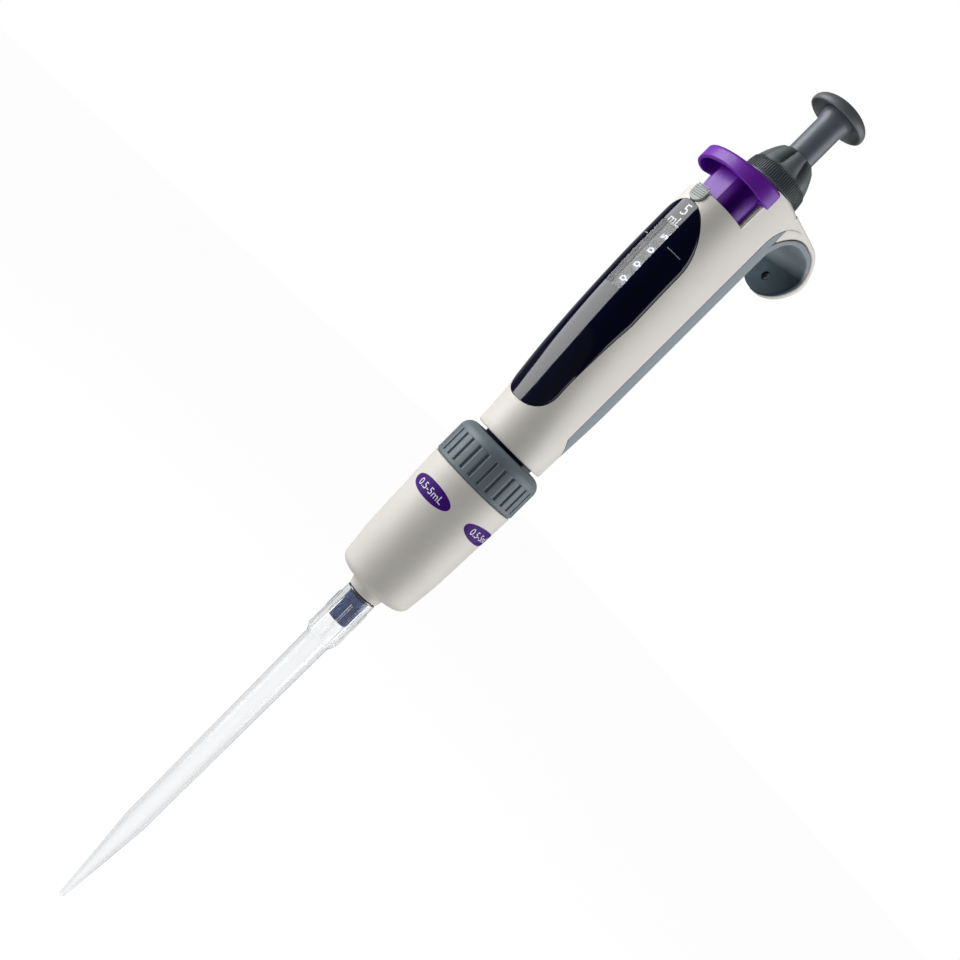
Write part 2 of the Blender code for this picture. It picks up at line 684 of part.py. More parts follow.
def make_housing():
    """Moulded handle housing with its hook, ledge, tower, seats and openings."""
    form = handle_form(0.0, HANDLE_BOTTOM_Z, HANDLE_TOP_Z, HANDLE_EDGE, HANDLE_SHOULDER)
    housing = add_part("handle_housing", form, BODY_WHITE)
    shell_path = [(HOOK_ROOT_Y, HOOK_REST_Z)] + HOOK_PATH[CROWN_STEPS:]
    shell_steps = len(shell_path) - 1

    def shell_inner(i):
        return lining_outer(max(i - 1, 0) + CROWN_STEPS) + GAP

    def shell_outer(i):
        thinner = (HOOK_SHELL_THICKNESS - HOOK_LIP_THICKNESS) * i / shell_steps
        return shell_inner(i) + HOOK_SHELL_THICKNESS - thinner

    shell = hook_band(shell_path, shell_inner, shell_outer, HOOK_HALF_WIDTH, HOOK_EDGE)
    combine(housing, shell, "UNION")
    # seat of the grip
    seat = add_part("seat", side_prism(grip_outline(GAP), 2 * HANDLE_HALF_WIDTH), BODY_WHITE)
    core = handle_form(GRIP_THICKNESS + GAP, HANDLE_BOTTOM_Z - REACH, HANDLE_TOP_Z + REACH)
    combine(seat, core, "DIFFERENCE")
    combine(housing, as_bmesh(seat), "DIFFERENCE")
    screw_depth = HOOK_SCREW_HEAD + HOOK_SCREW_SHANK + GAP
    combine(housing, screw_hole(HOOK_SCREW_SHANK_R + GAP, screw_depth), "DIFFERENCE")
    # hollow for the mechanism
    inside = handle_form(HANDLE_WALL, HANDLE_BOTTOM_Z + HANDLE_FLOOR, HANDLE_TOP_Z - HANDLE_ROOF)
    hollow = add_part("hollow", inside, BODY_WHITE)
    wide = 2 * HANDLE_HALF_WIDTH
    hollow_front = TOWER_FRONT - TOWER_WALL
    tower_front = block(-wide, wide, -2 * PAD_FRONT, -hollow_front, LEDGE_Z - LEDGE_THICKNESS,
                        HANDLE_TOP_Z + REACH)
    combine(hollow, tower_front, "DIFFERENCE")
    combine(housing, as_bmesh(hollow), "DIFFERENCE")
    # front ledge below the ejector button
    combine(housing, block(-wide, wide, -2 * PAD_FRONT, -TOWER_FRONT, LEDGE_Z, HANDLE_TOP_Z + REACH),
            "DIFFERENCE")
    # slot for the T-shaped stem
    slot_bottom = T_BOTTOM_Z - EJECT_TRAVEL - ARM_UPPER_FRONT_DROP - 2 * REACH
    combine(housing, prism(t_outline(SLOT_PLAY), slot_bottom, LEDGE_Z + REACH), "DIFFERENCE")
    # seat and opening of the window
    seat = add_part("seat", front_prism(lens_outline(GAP), -LEDGE_THICKNESS, -2 * PAD_FRONT), BODY_WHITE)
    combine(seat, handle_form(LENS_THICKNESS + GAP, HANDLE_BOTTOM_Z - REACH, HANDLE_TOP_Z + REACH),
            "DIFFERENCE")
    combine(housing, as_bmesh(seat), "DIFFERENCE")
    low = ZERO_RING_Z - DRUM_BAND / 2 - WINDOW_MARGIN
    high = ZERO_RING_Z + 3 * DRUM_PITCH + DRUM_BAND / 2 + WINDOW_MARGIN
    window = block(-WINDOW_HALF_WIDTH, WINDOW_HALF_WIDTH, -2 * PAD_FRONT, -COUNTER_Y, low, high)
    combine(housing, window, "DIFFERENCE")
    # groove of the lock slide
    groove = front_prism(lock_outline(GAP, LEDGE_Z + REACH), -LOCK_BACK + GAP, -2 * PAD_FRONT)
    combine(housing, groove, "DIFFERENCE")
    # top hole for the bush, bottom hole for the neck and the ejector's arms
    combine(housing, rod(BUSH_R + GAP, LEDGE_Z, HANDLE_TOP_Z + REACH, FINE), "DIFFERENCE")
    combine(housing, rod(NECK_R + GAP, HANDLE_BOTTOM_Z - REACH, HANDLE_BOTTOM_Z + HANDLE_FLOOR + REACH,
                         FINE), "DIFFERENCE")
    for side in (1, -1):
        slot = arm_arc(side, SLOT_PLAY, HANDLE_BOTTOM_Z - REACH, HANDLE_BOTTOM_Z + HANDLE_FLOOR + REACH)
        combine(housing, slot, "DIFFERENCE")
    smooth(housing)
    return housing


def t_outline(grow):
    """The ejector stem's T, seen from above."""
    block_half = T_BLOCK_HALF + grow
    wing_half = T_WING_HALF + grow
    front = -T_BLOCK_FRONT - grow
    middle = -T_WING_FRONT - grow
    rear = -T_WING_REAR + grow
    return ((-block_half, front), (block_half, front), (block_half, middle), (wing_half, middle),
            (wing_half, rear), (-wing_half, rear), (-wing_half, middle), (-block_half, middle))


def lens_outline(grow):
    """The window seen from the front: straight sides, blunt foot and rounder head."""
    half = LENS_HALF_WIDTH + grow
    points = []
    ends = ((LENS_TOP_Z - LENS_TOP_HEIGHT, LENS_TOP_HEIGHT + grow, LENS_TOP_SQUARENESS, 0),
            (LENS_BOTTOM_Z + LENS_BOTTOM_HEIGHT, LENS_BOTTOM_HEIGHT + grow, LENS_BOTTOM_SQUARENESS, 180))
    for level, height, power, start in ends:
        for i in range(LENS_END_STEPS + 1):
            angle = math.radians(start + 180 * i / LENS_END_STEPS)
            c, s = math.cos(angle), math.sin(angle)
            if i in (0, LENS_END_STEPS):
                s = 0.0
            x = half * math.copysign(abs(c) ** (2 / power), c)
            z = level + height * math.copysign(abs(s) ** (2 / power), s)
            points.append((x, z))
    return points


def lock_outline(grow, top):
    """The lock slide seen from the front: square head and round foot."""
    half = LOCK_WIDTH / 2 + grow
    points = arc((0.0, LOCK_BOTTOM_Z + LOCK_WIDTH / 2), (half, half), 180, 360, 10)
    return points + [(half, top), (-half, top)]


def make_lens():
    """Dark window lens, curved as the handle's front."""
    lens = add_part("window_lens", handle_form(-LENS_PROUD, HANDLE_BOTTOM_Z + HANDLE_EDGE, HANDLE_TOP_Z),
                    LENS_NAVY)
    combine(lens, front_prism(lens_outline(0.0), -LEDGE_THICKNESS, -2 * PAD_FRONT), "INTERSECT")
    combine(lens, handle_form(LENS_THICKNESS, HANDLE_BOTTOM_Z - REACH, HANDLE_TOP_Z + REACH),
            "DIFFERENCE")
    smooth(lens)
    return lens


def make_lock():
    """Ribbed slide that locks the set volume."""
    top = LOCK_BOTTOM_Z + LOCK_HEIGHT
    lock = add_part("lock_slide", front_prism(lock_outline(0.0, top), -LOCK_BACK, -LOCK_FRONT), LOCK_GREY)
    pitch = LOCK_HEIGHT / (LOCK_RIBS + 1)
    groove_half = LOCK_GROOVE_SHARE * pitch / 2
    for k in range(LOCK_RIBS):
        z = LOCK_BOTTOM_Z + (k + 1) * pitch
        groove = block(-LOCK_WIDTH, LOCK_WIDTH, -2 * LOCK_FRONT, -LOCK_FRONT + LOCK_RIB_DEPTH,
                       z - groove_half, z + groove_half)
        combine(lock, groove, "DIFFERENCE")
    return lock


def make_hook_screw():
    """Screw that holds the lining in the lip."""
    head_r = HOOK_SCREW_R
    profile = ((0.0, GAP), (head_r, GAP), (head_r, HOOK_SCREW_HEAD),
               (HOOK_SCREW_SHANK_R, HOOK_SCREW_HEAD),
               (HOOK_SCREW_SHANK_R, HOOK_SCREW_HEAD + HOOK_SCREW_SHANK),
               (0.0, HOOK_SCREW_HEAD + HOOK_SCREW_SHANK))
    bm = lathe(profile, TINY)
    share = (HOOK_LIP_Z - HOOK_SCREW_Z) / (HOOK_LIP_Z - HOOK_END_Z)
    face = HOOK_LIP_Y + (HOOK_END_Y - HOOK_LIP_Y) * share
    bmesh.ops.rotate(bm, verts=bm.verts, cent=(0, 0, 0), matrix=Matrix.Rotation(-math.pi / 2, 3, "X"))
    bmesh.ops.translate(bm, verts=bm.verts, vec=(0.0, face, HOOK_SCREW_Z))
    return add_part("hook_screw", bm, STEEL)


# tip, nozzle and cylinder

def make_tip():
    """Disposable tip with a ribbed collar."""
    end = TIP_TOP_Z - TIP_LENGTH
    step_top = TIP_STEP_Z + TIP_STEP_LENGTH
    outside = [(TIP_END_R, end), (TIP_CONE_R, end + TIP_CONE_LENGTH), (TIP_TUBE_R, TIP_STEP_Z),
               (TIP_COLLAR_R, step_top),
               (TIP_COLLAR_R, TIP_TOP_Z)]
    seat_r = NOZZLE_R + O_RING_WIRE_R + GAP
    inside = [(seat_r, TIP_TOP_Z), (seat_r - GAP, step_top), (TIP_TUBE_R - TIP_WALL, TIP_STEP_Z),
              (TIP_CONE_R - TIP_WALL, end + TIP_CONE_LENGTH), (TIP_END_R - TIP_END_WALL, end)]
    tip = add_part("tip", lathe(outside + inside, ROUND), TIP_CLEAR)
    for k in range(TIP_RIB_COUNT):
        turn = Matrix.Rotation(math.tau * k / TIP_RIB_COUNT, 3, "Z")
        rib = block(TIP_COLLAR_R - TIP_WALL / 2, TIP_COLLAR_R + TIP_RIB_DEPTH, -TIP_RIB_WIDTH / 2,
                    TIP_RIB_WIDTH / 2, step_top, TIP_TOP_Z - TIP_RIB_TOP)
        bmesh.ops.rotate(rib, verts=rib.verts, cent=(0, 0, 0), matrix=turn)
        combine(tip, rib, "UNION")
    smooth(tip)
    return tip


def make_nozzle():
    """Nozzle that the tip is pushed on to, screwed into the cylinder's floor."""
    bottom = TIP_TOP_Z - TIP_SEAT
    ring_z = TIP_TOP_Z - O_RING_BELOW_TIP_TOP
    groove = O_RING_WIRE_R + GAP
    filter_r = FILTER_R + GAP
    filter_top = bottom + FILTER_LENGTH + 2 * GAP
    shoulder = CYLINDER_BOTTOM_Z - GAP
    top = CYLINDER_BOTTOM_Z + CYLINDER_FLOOR
    profile = [(filter_r, bottom), (NOZZLE_R - NOZZLE_LEAD / 2, bottom), (NOZZLE_R, bottom + NOZZLE_LEAD),
               (NOZZLE_R, ring_z - groove), (NOZZLE_R - groove, ring_z - groove),
               (NOZZLE_R - groove, ring_z + groove), (NOZZLE_R, ring_z + groove),
               (NOZZLE_R, shoulder - NOZZLE_FLANGE),
               (NOZZLE_R + NOZZLE_FLANGE, shoulder - NOZZLE_FLANGE),
               (NOZZLE_R + NOZZLE_FLANGE, shoulder), (NOZZLE_R - NOZZLE_FLANGE, shoulder),
               (NOZZLE_R - NOZZLE_FLANGE, top), (NOZZLE_BORE_R, top), (NOZZLE_BORE_R, filter_top),
               (filter_r, filter_top)]
    nozzle = add_part("nozzle", lathe(profile, SMALL), NOZZLE_BLUE)
    smooth(nozzle)
    plug = rod(FILTER_R, bottom + GAP, bottom + GAP + FILTER_LENGTH, TINY)
    smooth(add_part("nozzle_filter", plug, FILTER_WHITE))
    section = arc((NOZZLE_R, ring_z), (O_RING_WIRE_R, O_RING_WIRE_R), 0, 300, 5)
    ring = add_part("nozzle_o_ring", lathe(section, SMALL), RUBBER_BLACK)
    smooth(ring, 60)
    return nozzle


def make_cylinder():
    """Measuring cylinder, open at the top."""
    outer = CYLINDER_BORE_R + CYLINDER_WALL
    floor = CYLINDER_BOTTOM_Z + CYLINDER_FLOOR
    hole = NOZZLE_R - NOZZLE_FLANGE + GAP
    chamfer = CYLINDER_CHAMFER
    profile = ((hole, CYLINDER_BOTTOM_Z), (outer - chamfer, CYLINDER_BOTTOM_Z),
               (outer, CYLINDER_BOTTOM_Z + chamfer),
               (outer, CYLINDER_TOP_Z), (CYLINDER_BORE_R, CYLINDER_TOP_Z), (CYLINDER_BORE_R, floor),
               (hole, floor))
    cylinder = add_part("cylinder", lathe(profile, FINE), INNER_PLASTIC)
    smooth(cylinder)
    return cylinder


def make_head():
    """Cylinder head: spigot, flange, spring floor and the neck up into the handle."""
    flange_bottom = CYLINDER_TOP_Z + GAP
    flange_top = flange_bottom + HEAD_FLANGE
    spigot_r = CYLINDER_BORE_R - GAP
    neck_top = HANDLE_BOTTOM_Z + NECK_IN_HANDLE
    hole = ROD_R + GAP
    bore = NECK_R - NECK_WALL
    profile = ((hole, flange_bottom - HEAD_SPIGOT), (spigot_r, flange_bottom - HEAD_SPIGOT),
               (spigot_r, flange_bottom),
               (CYLINDER_BORE_R + CYLINDER_WALL, flange_bottom),
               (CYLINDER_BORE_R + CYLINDER_WALL, flange_top),
               (NECK_R, flange_top), (NECK_R, neck_top), (bore, neck_top), (bore, SPRING_FLOOR_Z),
               (hole, SPRING_FLOOR_Z))
    head = add_part("cylinder_head", lathe(profile, FINE), NECK_NAVY)
    smooth(head)
    return head


# plunger

def make_plunger():
    """Piston with its seal, rod, collar, stem and push button, all moving together."""
    rest_bottom = CYLINDER_BOTTOM_Z + CYLINDER_FLOOR + PLUNGER_TRAVEL + PISTON_END_ROOM
    piston_r = CYLINDER_BORE_R - PISTON_CLEARANCE
    top = rest_bottom + PISTON_LENGTH
    groove_bottom = rest_bottom + SEAL_FROM_BOTTOM
    groove_top = groove_bottom + SEAL_HEIGHT + 2 * GAP
    groove_r = piston_r - SEAL_GROOVE_DEPTH
    socket_r = ROD_R + GAP
    socket_bottom = top - ROD_IN_PISTON
    edge = PISTON_EDGE
    profile = ((0.0, rest_bottom), (piston_r - edge, rest_bottom), (piston_r, rest_bottom + edge),
               (piston_r, groove_bottom), (groove_r, groove_bottom), (groove_r, groove_top),
               (piston_r, groove_top),
               (piston_r, top - edge), (piston_r - edge, top), (socket_r, top), (socket_r, socket_bottom),
               (0.0, socket_bottom))
    piston = add_part("piston", lathe(profile, ROUND), INNER_PLASTIC)
    smooth(piston)
    seal = tube(CYLINDER_BORE_R - GAP, groove_r + GAP, groove_bottom + GAP, groove_top - GAP, ROUND)
    smooth(add_part("piston_seal", seal, RUBBER_BLACK))
    rod_top = STEM_BOTTOM_Z + ROD_IN_STEM
    smooth(add_part("piston_rod", rod(ROD_R, socket_bottom + GAP, rod_top, SMALL), STEEL))
    collar_bottom = COLLAR_TOP_Z - COLLAR_HEIGHT
    smooth(add_part("rod_collar", tube(COLLAR_R, ROD_R + GAP, collar_bottom, COLLAR_TOP_Z, SMALL), BRASS))
    stem_top = BUTTON_RIM_Z + BUTTON_SOCKET - GAP
    flare_r = STEM_R + STEM_FLARE
    bore = ROD_R + GAP
    stem_profile = ((bore, STEM_BOTTOM_Z), (STEM_R, STEM_BOTTOM_Z),
                    (STEM_R, BUTTON_RIM_Z - STEM_FLARE_LENGTH),
                    (flare_r, BUTTON_RIM_Z), (flare_r, stem_top), (0.0, stem_top), (0.0, rod_top + GAP),
                    (bore, rod_top + GAP))
    smooth(add_part("plunger_stem", lathe(stem_profile, ROUND), KNOB_GREY))
    make_button(flare_r)


def make_button(flare_r):
    """Domed push button with a hollow underside and a socket for the stem."""
    top = BUTTON_RIM_Z + BUTTON_HEIGHT
    socket_top = BUTTON_RIM_Z + BUTTON_SOCKET
    roof = BUTTON_RIM_Z + BUTTON_HOLLOW
    socket_r = flare_r + GAP
    dome = arc((BUTTON_PAD_R, top - BUTTON_DOME), (BUTTON_R - BUTTON_PAD_R, BUTTON_DOME), 0, 90, 5)
    profile = [(0.0, socket_top), (socket_r, socket_top), (socket_r, roof),
               (BUTTON_R - 2 * BUTTON_LIP, roof),
               (BUTTON_R - BUTTON_LIP, BUTTON_RIM_Z),
               (BUTTON_R - BUTTON_EDGE, BUTTON_RIM_Z)] + dome + [(0.0, top)]
    smooth(add_part("push_button", lathe(profile, ROUND), KNOB_GREY))


# ejector

def make_sleeve():
    """White barrel that slides over the cylinder and pushes the tip off."""
    bottom = TIP_TOP_Z + TIP_TO_SLEEVE
    barrel_bottom = bottom + NOSE_LENGTH
    corner = BARREL_CORNER_R
    belly_z = barrel_bottom + (BARREL_TOP_Z - barrel_bottom) * BARREL_BELLY_SHARE
    outside = [(NOSE_BORE_R, bottom), (NOSE_R - NOSE_EDGE, bottom), (NOSE_R, bottom + NOSE_EDGE),
               (NOSE_TOP_R, barrel_bottom)]
    outside += arc((BARREL_BOTTOM_R - corner, barrel_bottom + corner), (corner, corner), -90, 0, 4)
    outside += [(BARREL_BELLY_R, belly_z),
                (BARREL_TOP_R - BARREL_TAPER, BARREL_TOP_Z - BARREL_TAPER_HEIGHT),
                (BARREL_TOP_R, BARREL_TOP_Z), (SLEEVE_COLLAR_R, BARREL_TOP_Z),
                (SLEEVE_COLLAR_R, BARREL_TOP_Z + SLEEVE_COLLAR_HEIGHT)]
    inner_top = SLEEVE_COLLAR_R - SLEEVE_COLLAR_WALL
    wall = BARREL_WALL
    inside = [(inner_top, BARREL_TOP_Z + SLEEVE_COLLAR_HEIGHT), (inner_top, belly_z),
              (BARREL_BOTTOM_R - wall, barrel_bottom + corner)]
    inside += arc((BARREL_BOTTOM_R - corner, barrel_bottom + corner), (corner - wall, corner - wall),
                  -30, -90, 2)
    inside.append((NOSE_BORE_R, barrel_bottom + wall))
    sleeve = add_part("ejector_sleeve", lathe(outside + inside, FINE), BODY_WHITE)
    smooth(sleeve)
    return sleeve


def make_ring_nut():
    """Fluted ring nut that clamps the sleeve to the ejector fork."""
    bottom = BARREL_TOP_Z + GAP
    count = NUT_FLUTES * 3
    shoulder = NUT_SHOULDER_R
    levels = [(NUT_R - NUT_CHAMFER / 2, bottom, 0.0), (NUT_R, bottom + NUT_CHAMFER, 0.0),
              (NUT_R, bottom + NUT_FLUTE_FROM, 0.0),
              (NUT_R, bottom + NUT_FLUTE_FROM + NUT_FLUTE_RUNOUT, 1.0),
              (NUT_R, NUT_TOP_Z - shoulder, 1.0)]
    for angle in ROUNDING:
        lift = shoulder * math.sin(math.radians(angle))
        step_in = shoulder * (1 - math.cos(math.radians(angle)))
        height = NUT_TOP_Z - shoulder + lift
        levels.append((NUT_R - step_in, height, 1.0 if height < bottom + NUT_FLUTE_TO else 0.0))
    sections = []
    for radius, height, cut in levels:
        section = []
        for i in range(count):
            in_flute = i % 3 == 0
            angle = math.tau * i / count
            here = radius - NUT_FLUTE_DEPTH * cut * in_flute
            section.append((here * math.cos(angle), here * math.sin(angle), height))
        sections.append(section)
    nut = add_part("ring_nut", loft(sections), GRIP_GREY)
    shelf = yoke_bottom() + YOKE_THICKNESS + GAP
    inner = NUT_R - NUT_WALL
    hollow = lathe(((0.0, bottom - REACH), (inner, bottom - REACH), (inner, shelf), (NUT_HOLE_R, shelf),
                    (NUT_HOLE_R, NUT_TOP_Z + REACH), (0.0, NUT_TOP_Z + REACH)), FINE)
    combine(nut, hollow, "DIFFERENCE")
    smooth(nut)
    return nut


def yoke_bottom():
    """Height of the yoke, which rests on the sleeve's collar."""
    return BARREL_TOP_Z + SLEEVE_COLLAR_HEIGHT + GAP


def arm_arc(side, grow, bottom, top):
    """A bent plate beside the neck, on the right (1) or left (-1)."""
    inner = ARM_INNER_R - grow
    outer = ARM_INNER_R + ARM_THICKNESS + grow
    spread = math.degrees(grow / ARM_INNER_R)
    start = ARM_FROM_DEG - spread
    end = ARM_TO_DEG + spread
    outline = arc((0, 0), (outer, outer), start, end, 6) + arc((0, 0), (inner, inner), end, start, 6)
    if side < 0:
        outline = [(-x, y) for x, y in outline]
    return prism(outline, bottom, top)


def make_fork():
    """Yoke ring with two arms that carry the thumb's push down to the sleeve."""
    bottom = yoke_bottom()
    yoke = tube(NUT_R - NUT_WALL - GAP, ARM_INNER_R + BLEND, bottom, bottom + YOKE_THICKNESS, FINE)
    fork = add_part("ejector_fork", yoke, INNER_PLASTIC)
    upper_top = T_BOTTOM_Z - GAP
    jog_top = ARM_JOG_Z + ARM_JOG_HEIGHT
    front = -T_WING_FRONT
    arm_rear = ARM_INNER_R * math.sin(math.radians(ARM_TO_DEG)) - ARM_THICKNESS
    outline = ((front, upper_top), (front + ARM_UPPER_DEPTH, upper_top), (arm_rear, jog_top),
               (arm_rear, ARM_JOG_Z),
               (0.0, ARM_JOG_Z), (0.0, jog_top - REACH), (front, upper_top - ARM_UPPER_FRONT_DROP))
    for side in (1, -1):
        combine(fork, arm_arc(side, 0.0, bottom + REACH, jog_top - BLEND), "UNION")
        inner = side * ARM_UPPER_X
        outer = side * (ARM_UPPER_X + ARM_UPPER_THICKNESS)
        plate = loft([[(x, y, z) for y, z in outline] for x in (inner, outer)])
        combine(fork, plate, "UNION")
        jog = block(*sorted((inner + side * BLEND, side * (ARM_INNER_R + ARM_THICKNESS / 2))), BLEND,
                    arm_rear - BLEND,
                    ARM_JOG_Z + BLEND, jog_top - 2 * BLEND)
        combine(fork, jog, "UNION")
    smooth(fork)
    return fork


def pad_outline(inset):
    """Thumb pad seen from above: broad front, swept wings and a straight rear edge along the tower."""
    wing_y = TOWER_FRONT + PAD_CLEARANCE + PAD_WING_DEPTH
    nose_centre = (0.0, -PAD_FRONT + PAD_NOSE_DEPTH)
    nose = arc(nose_centre, (PAD_NOSE_HALF - inset, PAD_NOSE_DEPTH - inset), 270, 352, 7)
    wing_centre = (PAD_WING_X - PAD_WING_LENGTH, -wing_y)
    wing = arc(wing_centre, (PAD_WING_LENGTH - inset, PAD_WING_DEPTH - inset), -30, 90, 5)
    right = nose + wing
    left = [(-x, y) for x, y in reversed(right[1:])]
    return right + left


def sloped(bm):
    """Tilt a pad shape so that it falls towards the front."""
    for vert in bm.verts:
        vert.co.z += PAD_SLOPE * (vert.co.y + TOWER_FRONT)
    return bm


def make_ejector_button():
    """Thumb pad with a skirt and a rib, on its T-shaped stem with the spring's bore."""
    under = PAD_TOP_Z - PAD_SKIRT
    pad_levels = [(0.0, under), (0.0, PAD_TOP_Z - PAD_EDGE)]
    for angle in (45, 90):
        lift = PAD_EDGE * math.sin(math.radians(angle))
        step_in = PAD_EDGE * (1 - math.cos(math.radians(angle)))
        pad_levels.append((step_in, PAD_TOP_Z - PAD_EDGE + lift))
    pad = loft([[(x, y, z) for x, y in pad_outline(inset)] for inset, z in pad_levels])
    button = add_part("ejector_button", sloped(pad), PURPLE)
    pocket = prism(pad_outline(PAD_WALL), under - REACH, PAD_TOP_Z - PAD_ROOF)
    combine(button, sloped(pocket), "DIFFERENCE")
    roof = PAD_TOP_Z - PAD_ROOF + REACH
    stem = add_part("stem", prism(t_outline(0.0), T_BOTTOM_Z, roof + PAD_SKIRT), PURPLE)
    combine(stem, sloped(block(-PAD_FRONT, PAD_FRONT, -PAD_FRONT, 0.0, roof - REACH / 2,
                               roof + PAD_FRONT)), "DIFFERENCE")
    combine(button, as_bmesh(stem), "UNION")
    rib = sloped(block(-PAD_RIB, PAD_RIB, -PAD_FRONT + PAD_WALL / 2, -T_BLOCK_FRONT + REACH,
                       under + PAD_RIB_RISE, PAD_TOP_Z - PAD_ROOF + REACH / 2))
    combine(button, rib, "UNION")
    bore = rod(EJECT_SPRING_R + EJECT_SPRING_WIRE_R + GAP, T_BOTTOM_Z - REACH,
               FRAME_TOP_Z + EJECT_SPRING_LENGTH + 2 * GAP,
               SMALL, (0.0, -EJECT_SPRING_Y))
    combine(button, bore, "DIFFERENCE")
    smooth(button)
    return button


# volume drive

def make_drive():
    """Knob, drive sleeve, lead screw and drive gear, which turn together."""
    sleeve_bottom = FRAME_TOP_Z - LEAD_SCREW_HEAD
    sleeve_inner = STEM_R + RUN
    knob_bottom = HANDLE_TOP_Z + GAP
    sleeve_top = knob_bottom + KNOB_SOCKET - GAP
    drive = tube(DRIVE_SLEEVE_R, sleeve_inner, sleeve_bottom, sleeve_top, SMALL)
    smooth(add_part("drive_sleeve", drive, INNER_PLASTIC))
    screw_bottom = COLLAR_TOP_Z + GAP
    head_r = sleeve_inner - GAP
    profile = [(LEAD_SCREW_BORE_R, screw_bottom), (LEAD_SCREW_R - THREAD_LEAD, screw_bottom)]
    profile += [(LEAD_SCREW_R, screw_bottom + THREAD_LEAD), (LEAD_SCREW_R, sleeve_bottom),
                (head_r, sleeve_bottom), (head_r, FRAME_TOP_Z), (LEAD_SCREW_BORE_R, FRAME_TOP_Z)]
    smooth(add_part("lead_screw", lathe(profile, SMALL), BRASS), 20)
    drive_gear = gear(DRIVE_TEETH, COUNTER_MODULE, LEAD_SCREW_R + GAP, GEAR_Z, GEAR_Z + GEAR_WIDTH,
                      (0.0, 0.0),
                      -math.pi / 2)
    add_part("drive_gear", drive_gear, DRUM_WHITE)
    make_knob(knob_bottom, sleeve_inner)


def make_knob(bottom, bore):
    """Domed volume knob with eight flutes that fade out at its foot and its head."""
    steps_per_flute = 6
    count = KNOB_FLUTES * steps_per_flute
    sections = []
    for share, size in KNOB_SHAPE:
        height = share * KNOB_HEIGHT
        fade = smoothstep(height, KNOB_FLUTE_FROM, KNOB_FLUTE_FULL)
        fade *= 1 - smoothstep(share, KNOB_FLUTE_END, 1.0)
        section = []
        for i in range(count):
            angle = math.tau * i / count
            crest = abs(math.cos(angle * KNOB_FLUTES / 2))
            radius = KNOB_R * size - KNOB_FLUTE_DEPTH * fade * (1 - crest)
            section.append((radius * math.cos(angle), radius * math.sin(angle), bottom + height))
        sections.append(section)
    knob = add_part("volume_knob", loft(sections), KNOB_GREY)
    socket = bottom + KNOB_SOCKET
    hole = lathe(((0.0, bottom - REACH), (DRIVE_SLEEVE_R + GAP, bottom - REACH),
                  (DRIVE_SLEEVE_R + GAP, socket),
                  (bore, socket), (bore, bottom + KNOB_HEIGHT + REACH),
                  (0.0, bottom + KNOB_HEIGHT + REACH)), ROUND)
    combine(knob, hole, "DIFFERENCE")
    smooth(knob, 50)
    return knob


def make_core():
    """Core tube, lead nut and top bush: the fixed carriers of the drive."""
    core_bottom = HANDLE_BOTTOM_Z + NECK_IN_HANDLE + GAP
    core = tube(CORE_R, CORE_R - CORE_WALL, core_bottom, LEAD_NUT_Z - GAP, FINE)
    smooth(add_part("core_tube", core, INNER_PLASTIC))
    hole = LEAD_SCREW_R + GAP
    spigot_r = CORE_R - CORE_WALL - GAP
    nut_top = LEAD_NUT_Z + LEAD_NUT_HEIGHT
    profile = ((hole, LEAD_NUT_Z - LEAD_NUT_SPIGOT), (spigot_r, LEAD_NUT_Z - LEAD_NUT_SPIGOT),
               (spigot_r, LEAD_NUT_Z),
               (CORE_R, LEAD_NUT_Z), (CORE_R, nut_top), (hole, nut_top))
    nut = add_part("lead_nut", lathe(profile, ROUND), BRASS)
    inside_front = front_reach(LEAD_NUT_Z) - HANDLE_WALL - GAP
    inside_rear = HANDLE_REAR - HANDLE_WALL - GAP
    keys = ((-inside_front, -CORE_R + REACH), (CORE_R - REACH, inside_rear))
    for y0, y1 in keys:
        key = block(-LEAD_NUT_KEY, LEAD_NUT_KEY, y0, y1, LEAD_NUT_Z, nut_top)
        combine(nut, key, "UNION")
    smooth(nut)
    inner = DRIVE_SLEEVE_R + GAP
    under_roof = HANDLE_TOP_Z - HANDLE_ROOF - GAP
    bush = ((inner, under_roof - BUSH_FLANGE), (BUSH_FLANGE_R, under_roof - BUSH_FLANGE),
            (BUSH_FLANGE_R, under_roof),
            (BUSH_R, under_roof), (BUSH_R, HANDLE_TOP_Z), (inner, HANDLE_TOP_Z))
    smooth(add_part("top_bush", lathe(bush, ROUND), BRASS))


# counter

def drum_level(place):
    """Middle height of the number band: 0 is the fixed zero, 3 the whole millilitres."""
    return ZERO_RING_Z + place * DRUM_PITCH


def make_drum(name, place, has_gear, has_disc):
    """A number drum with its hub, its carry gear below and its carry disc above."""
    middle = drum_level(place)
    half = DRUM_BAND / 2
    bore = COUNTER_AXLE_R + GAP
    top = middle + half
    bottom = middle - half
    profile = [(bore, bottom), (DRUM_R, bottom), (DRUM_R, top)]
    if has_disc:
        profile += [(DRUM_DISC_R, top), (DRUM_DISC_R, top + DRUM_DISC), (bore, top + DRUM_DISC)]
    else:
        profile.append((bore, top))
    drum = add_part(name, lathe(profile, SMALL, (0.0, -COUNTER_Y)), DRUM_WHITE, (0.0, -COUNTER_Y, middle))
    if has_gear:
        teeth = gear(DRUM_TEETH, CARRY_MODULE, bore, bottom - DRUM_GEAR_WIDTH, bottom + REACH / 2,
                     (0.0, -COUNTER_Y), 0.0)
        combine(drum, teeth, "UNION")
    smooth(drum)
    return drum


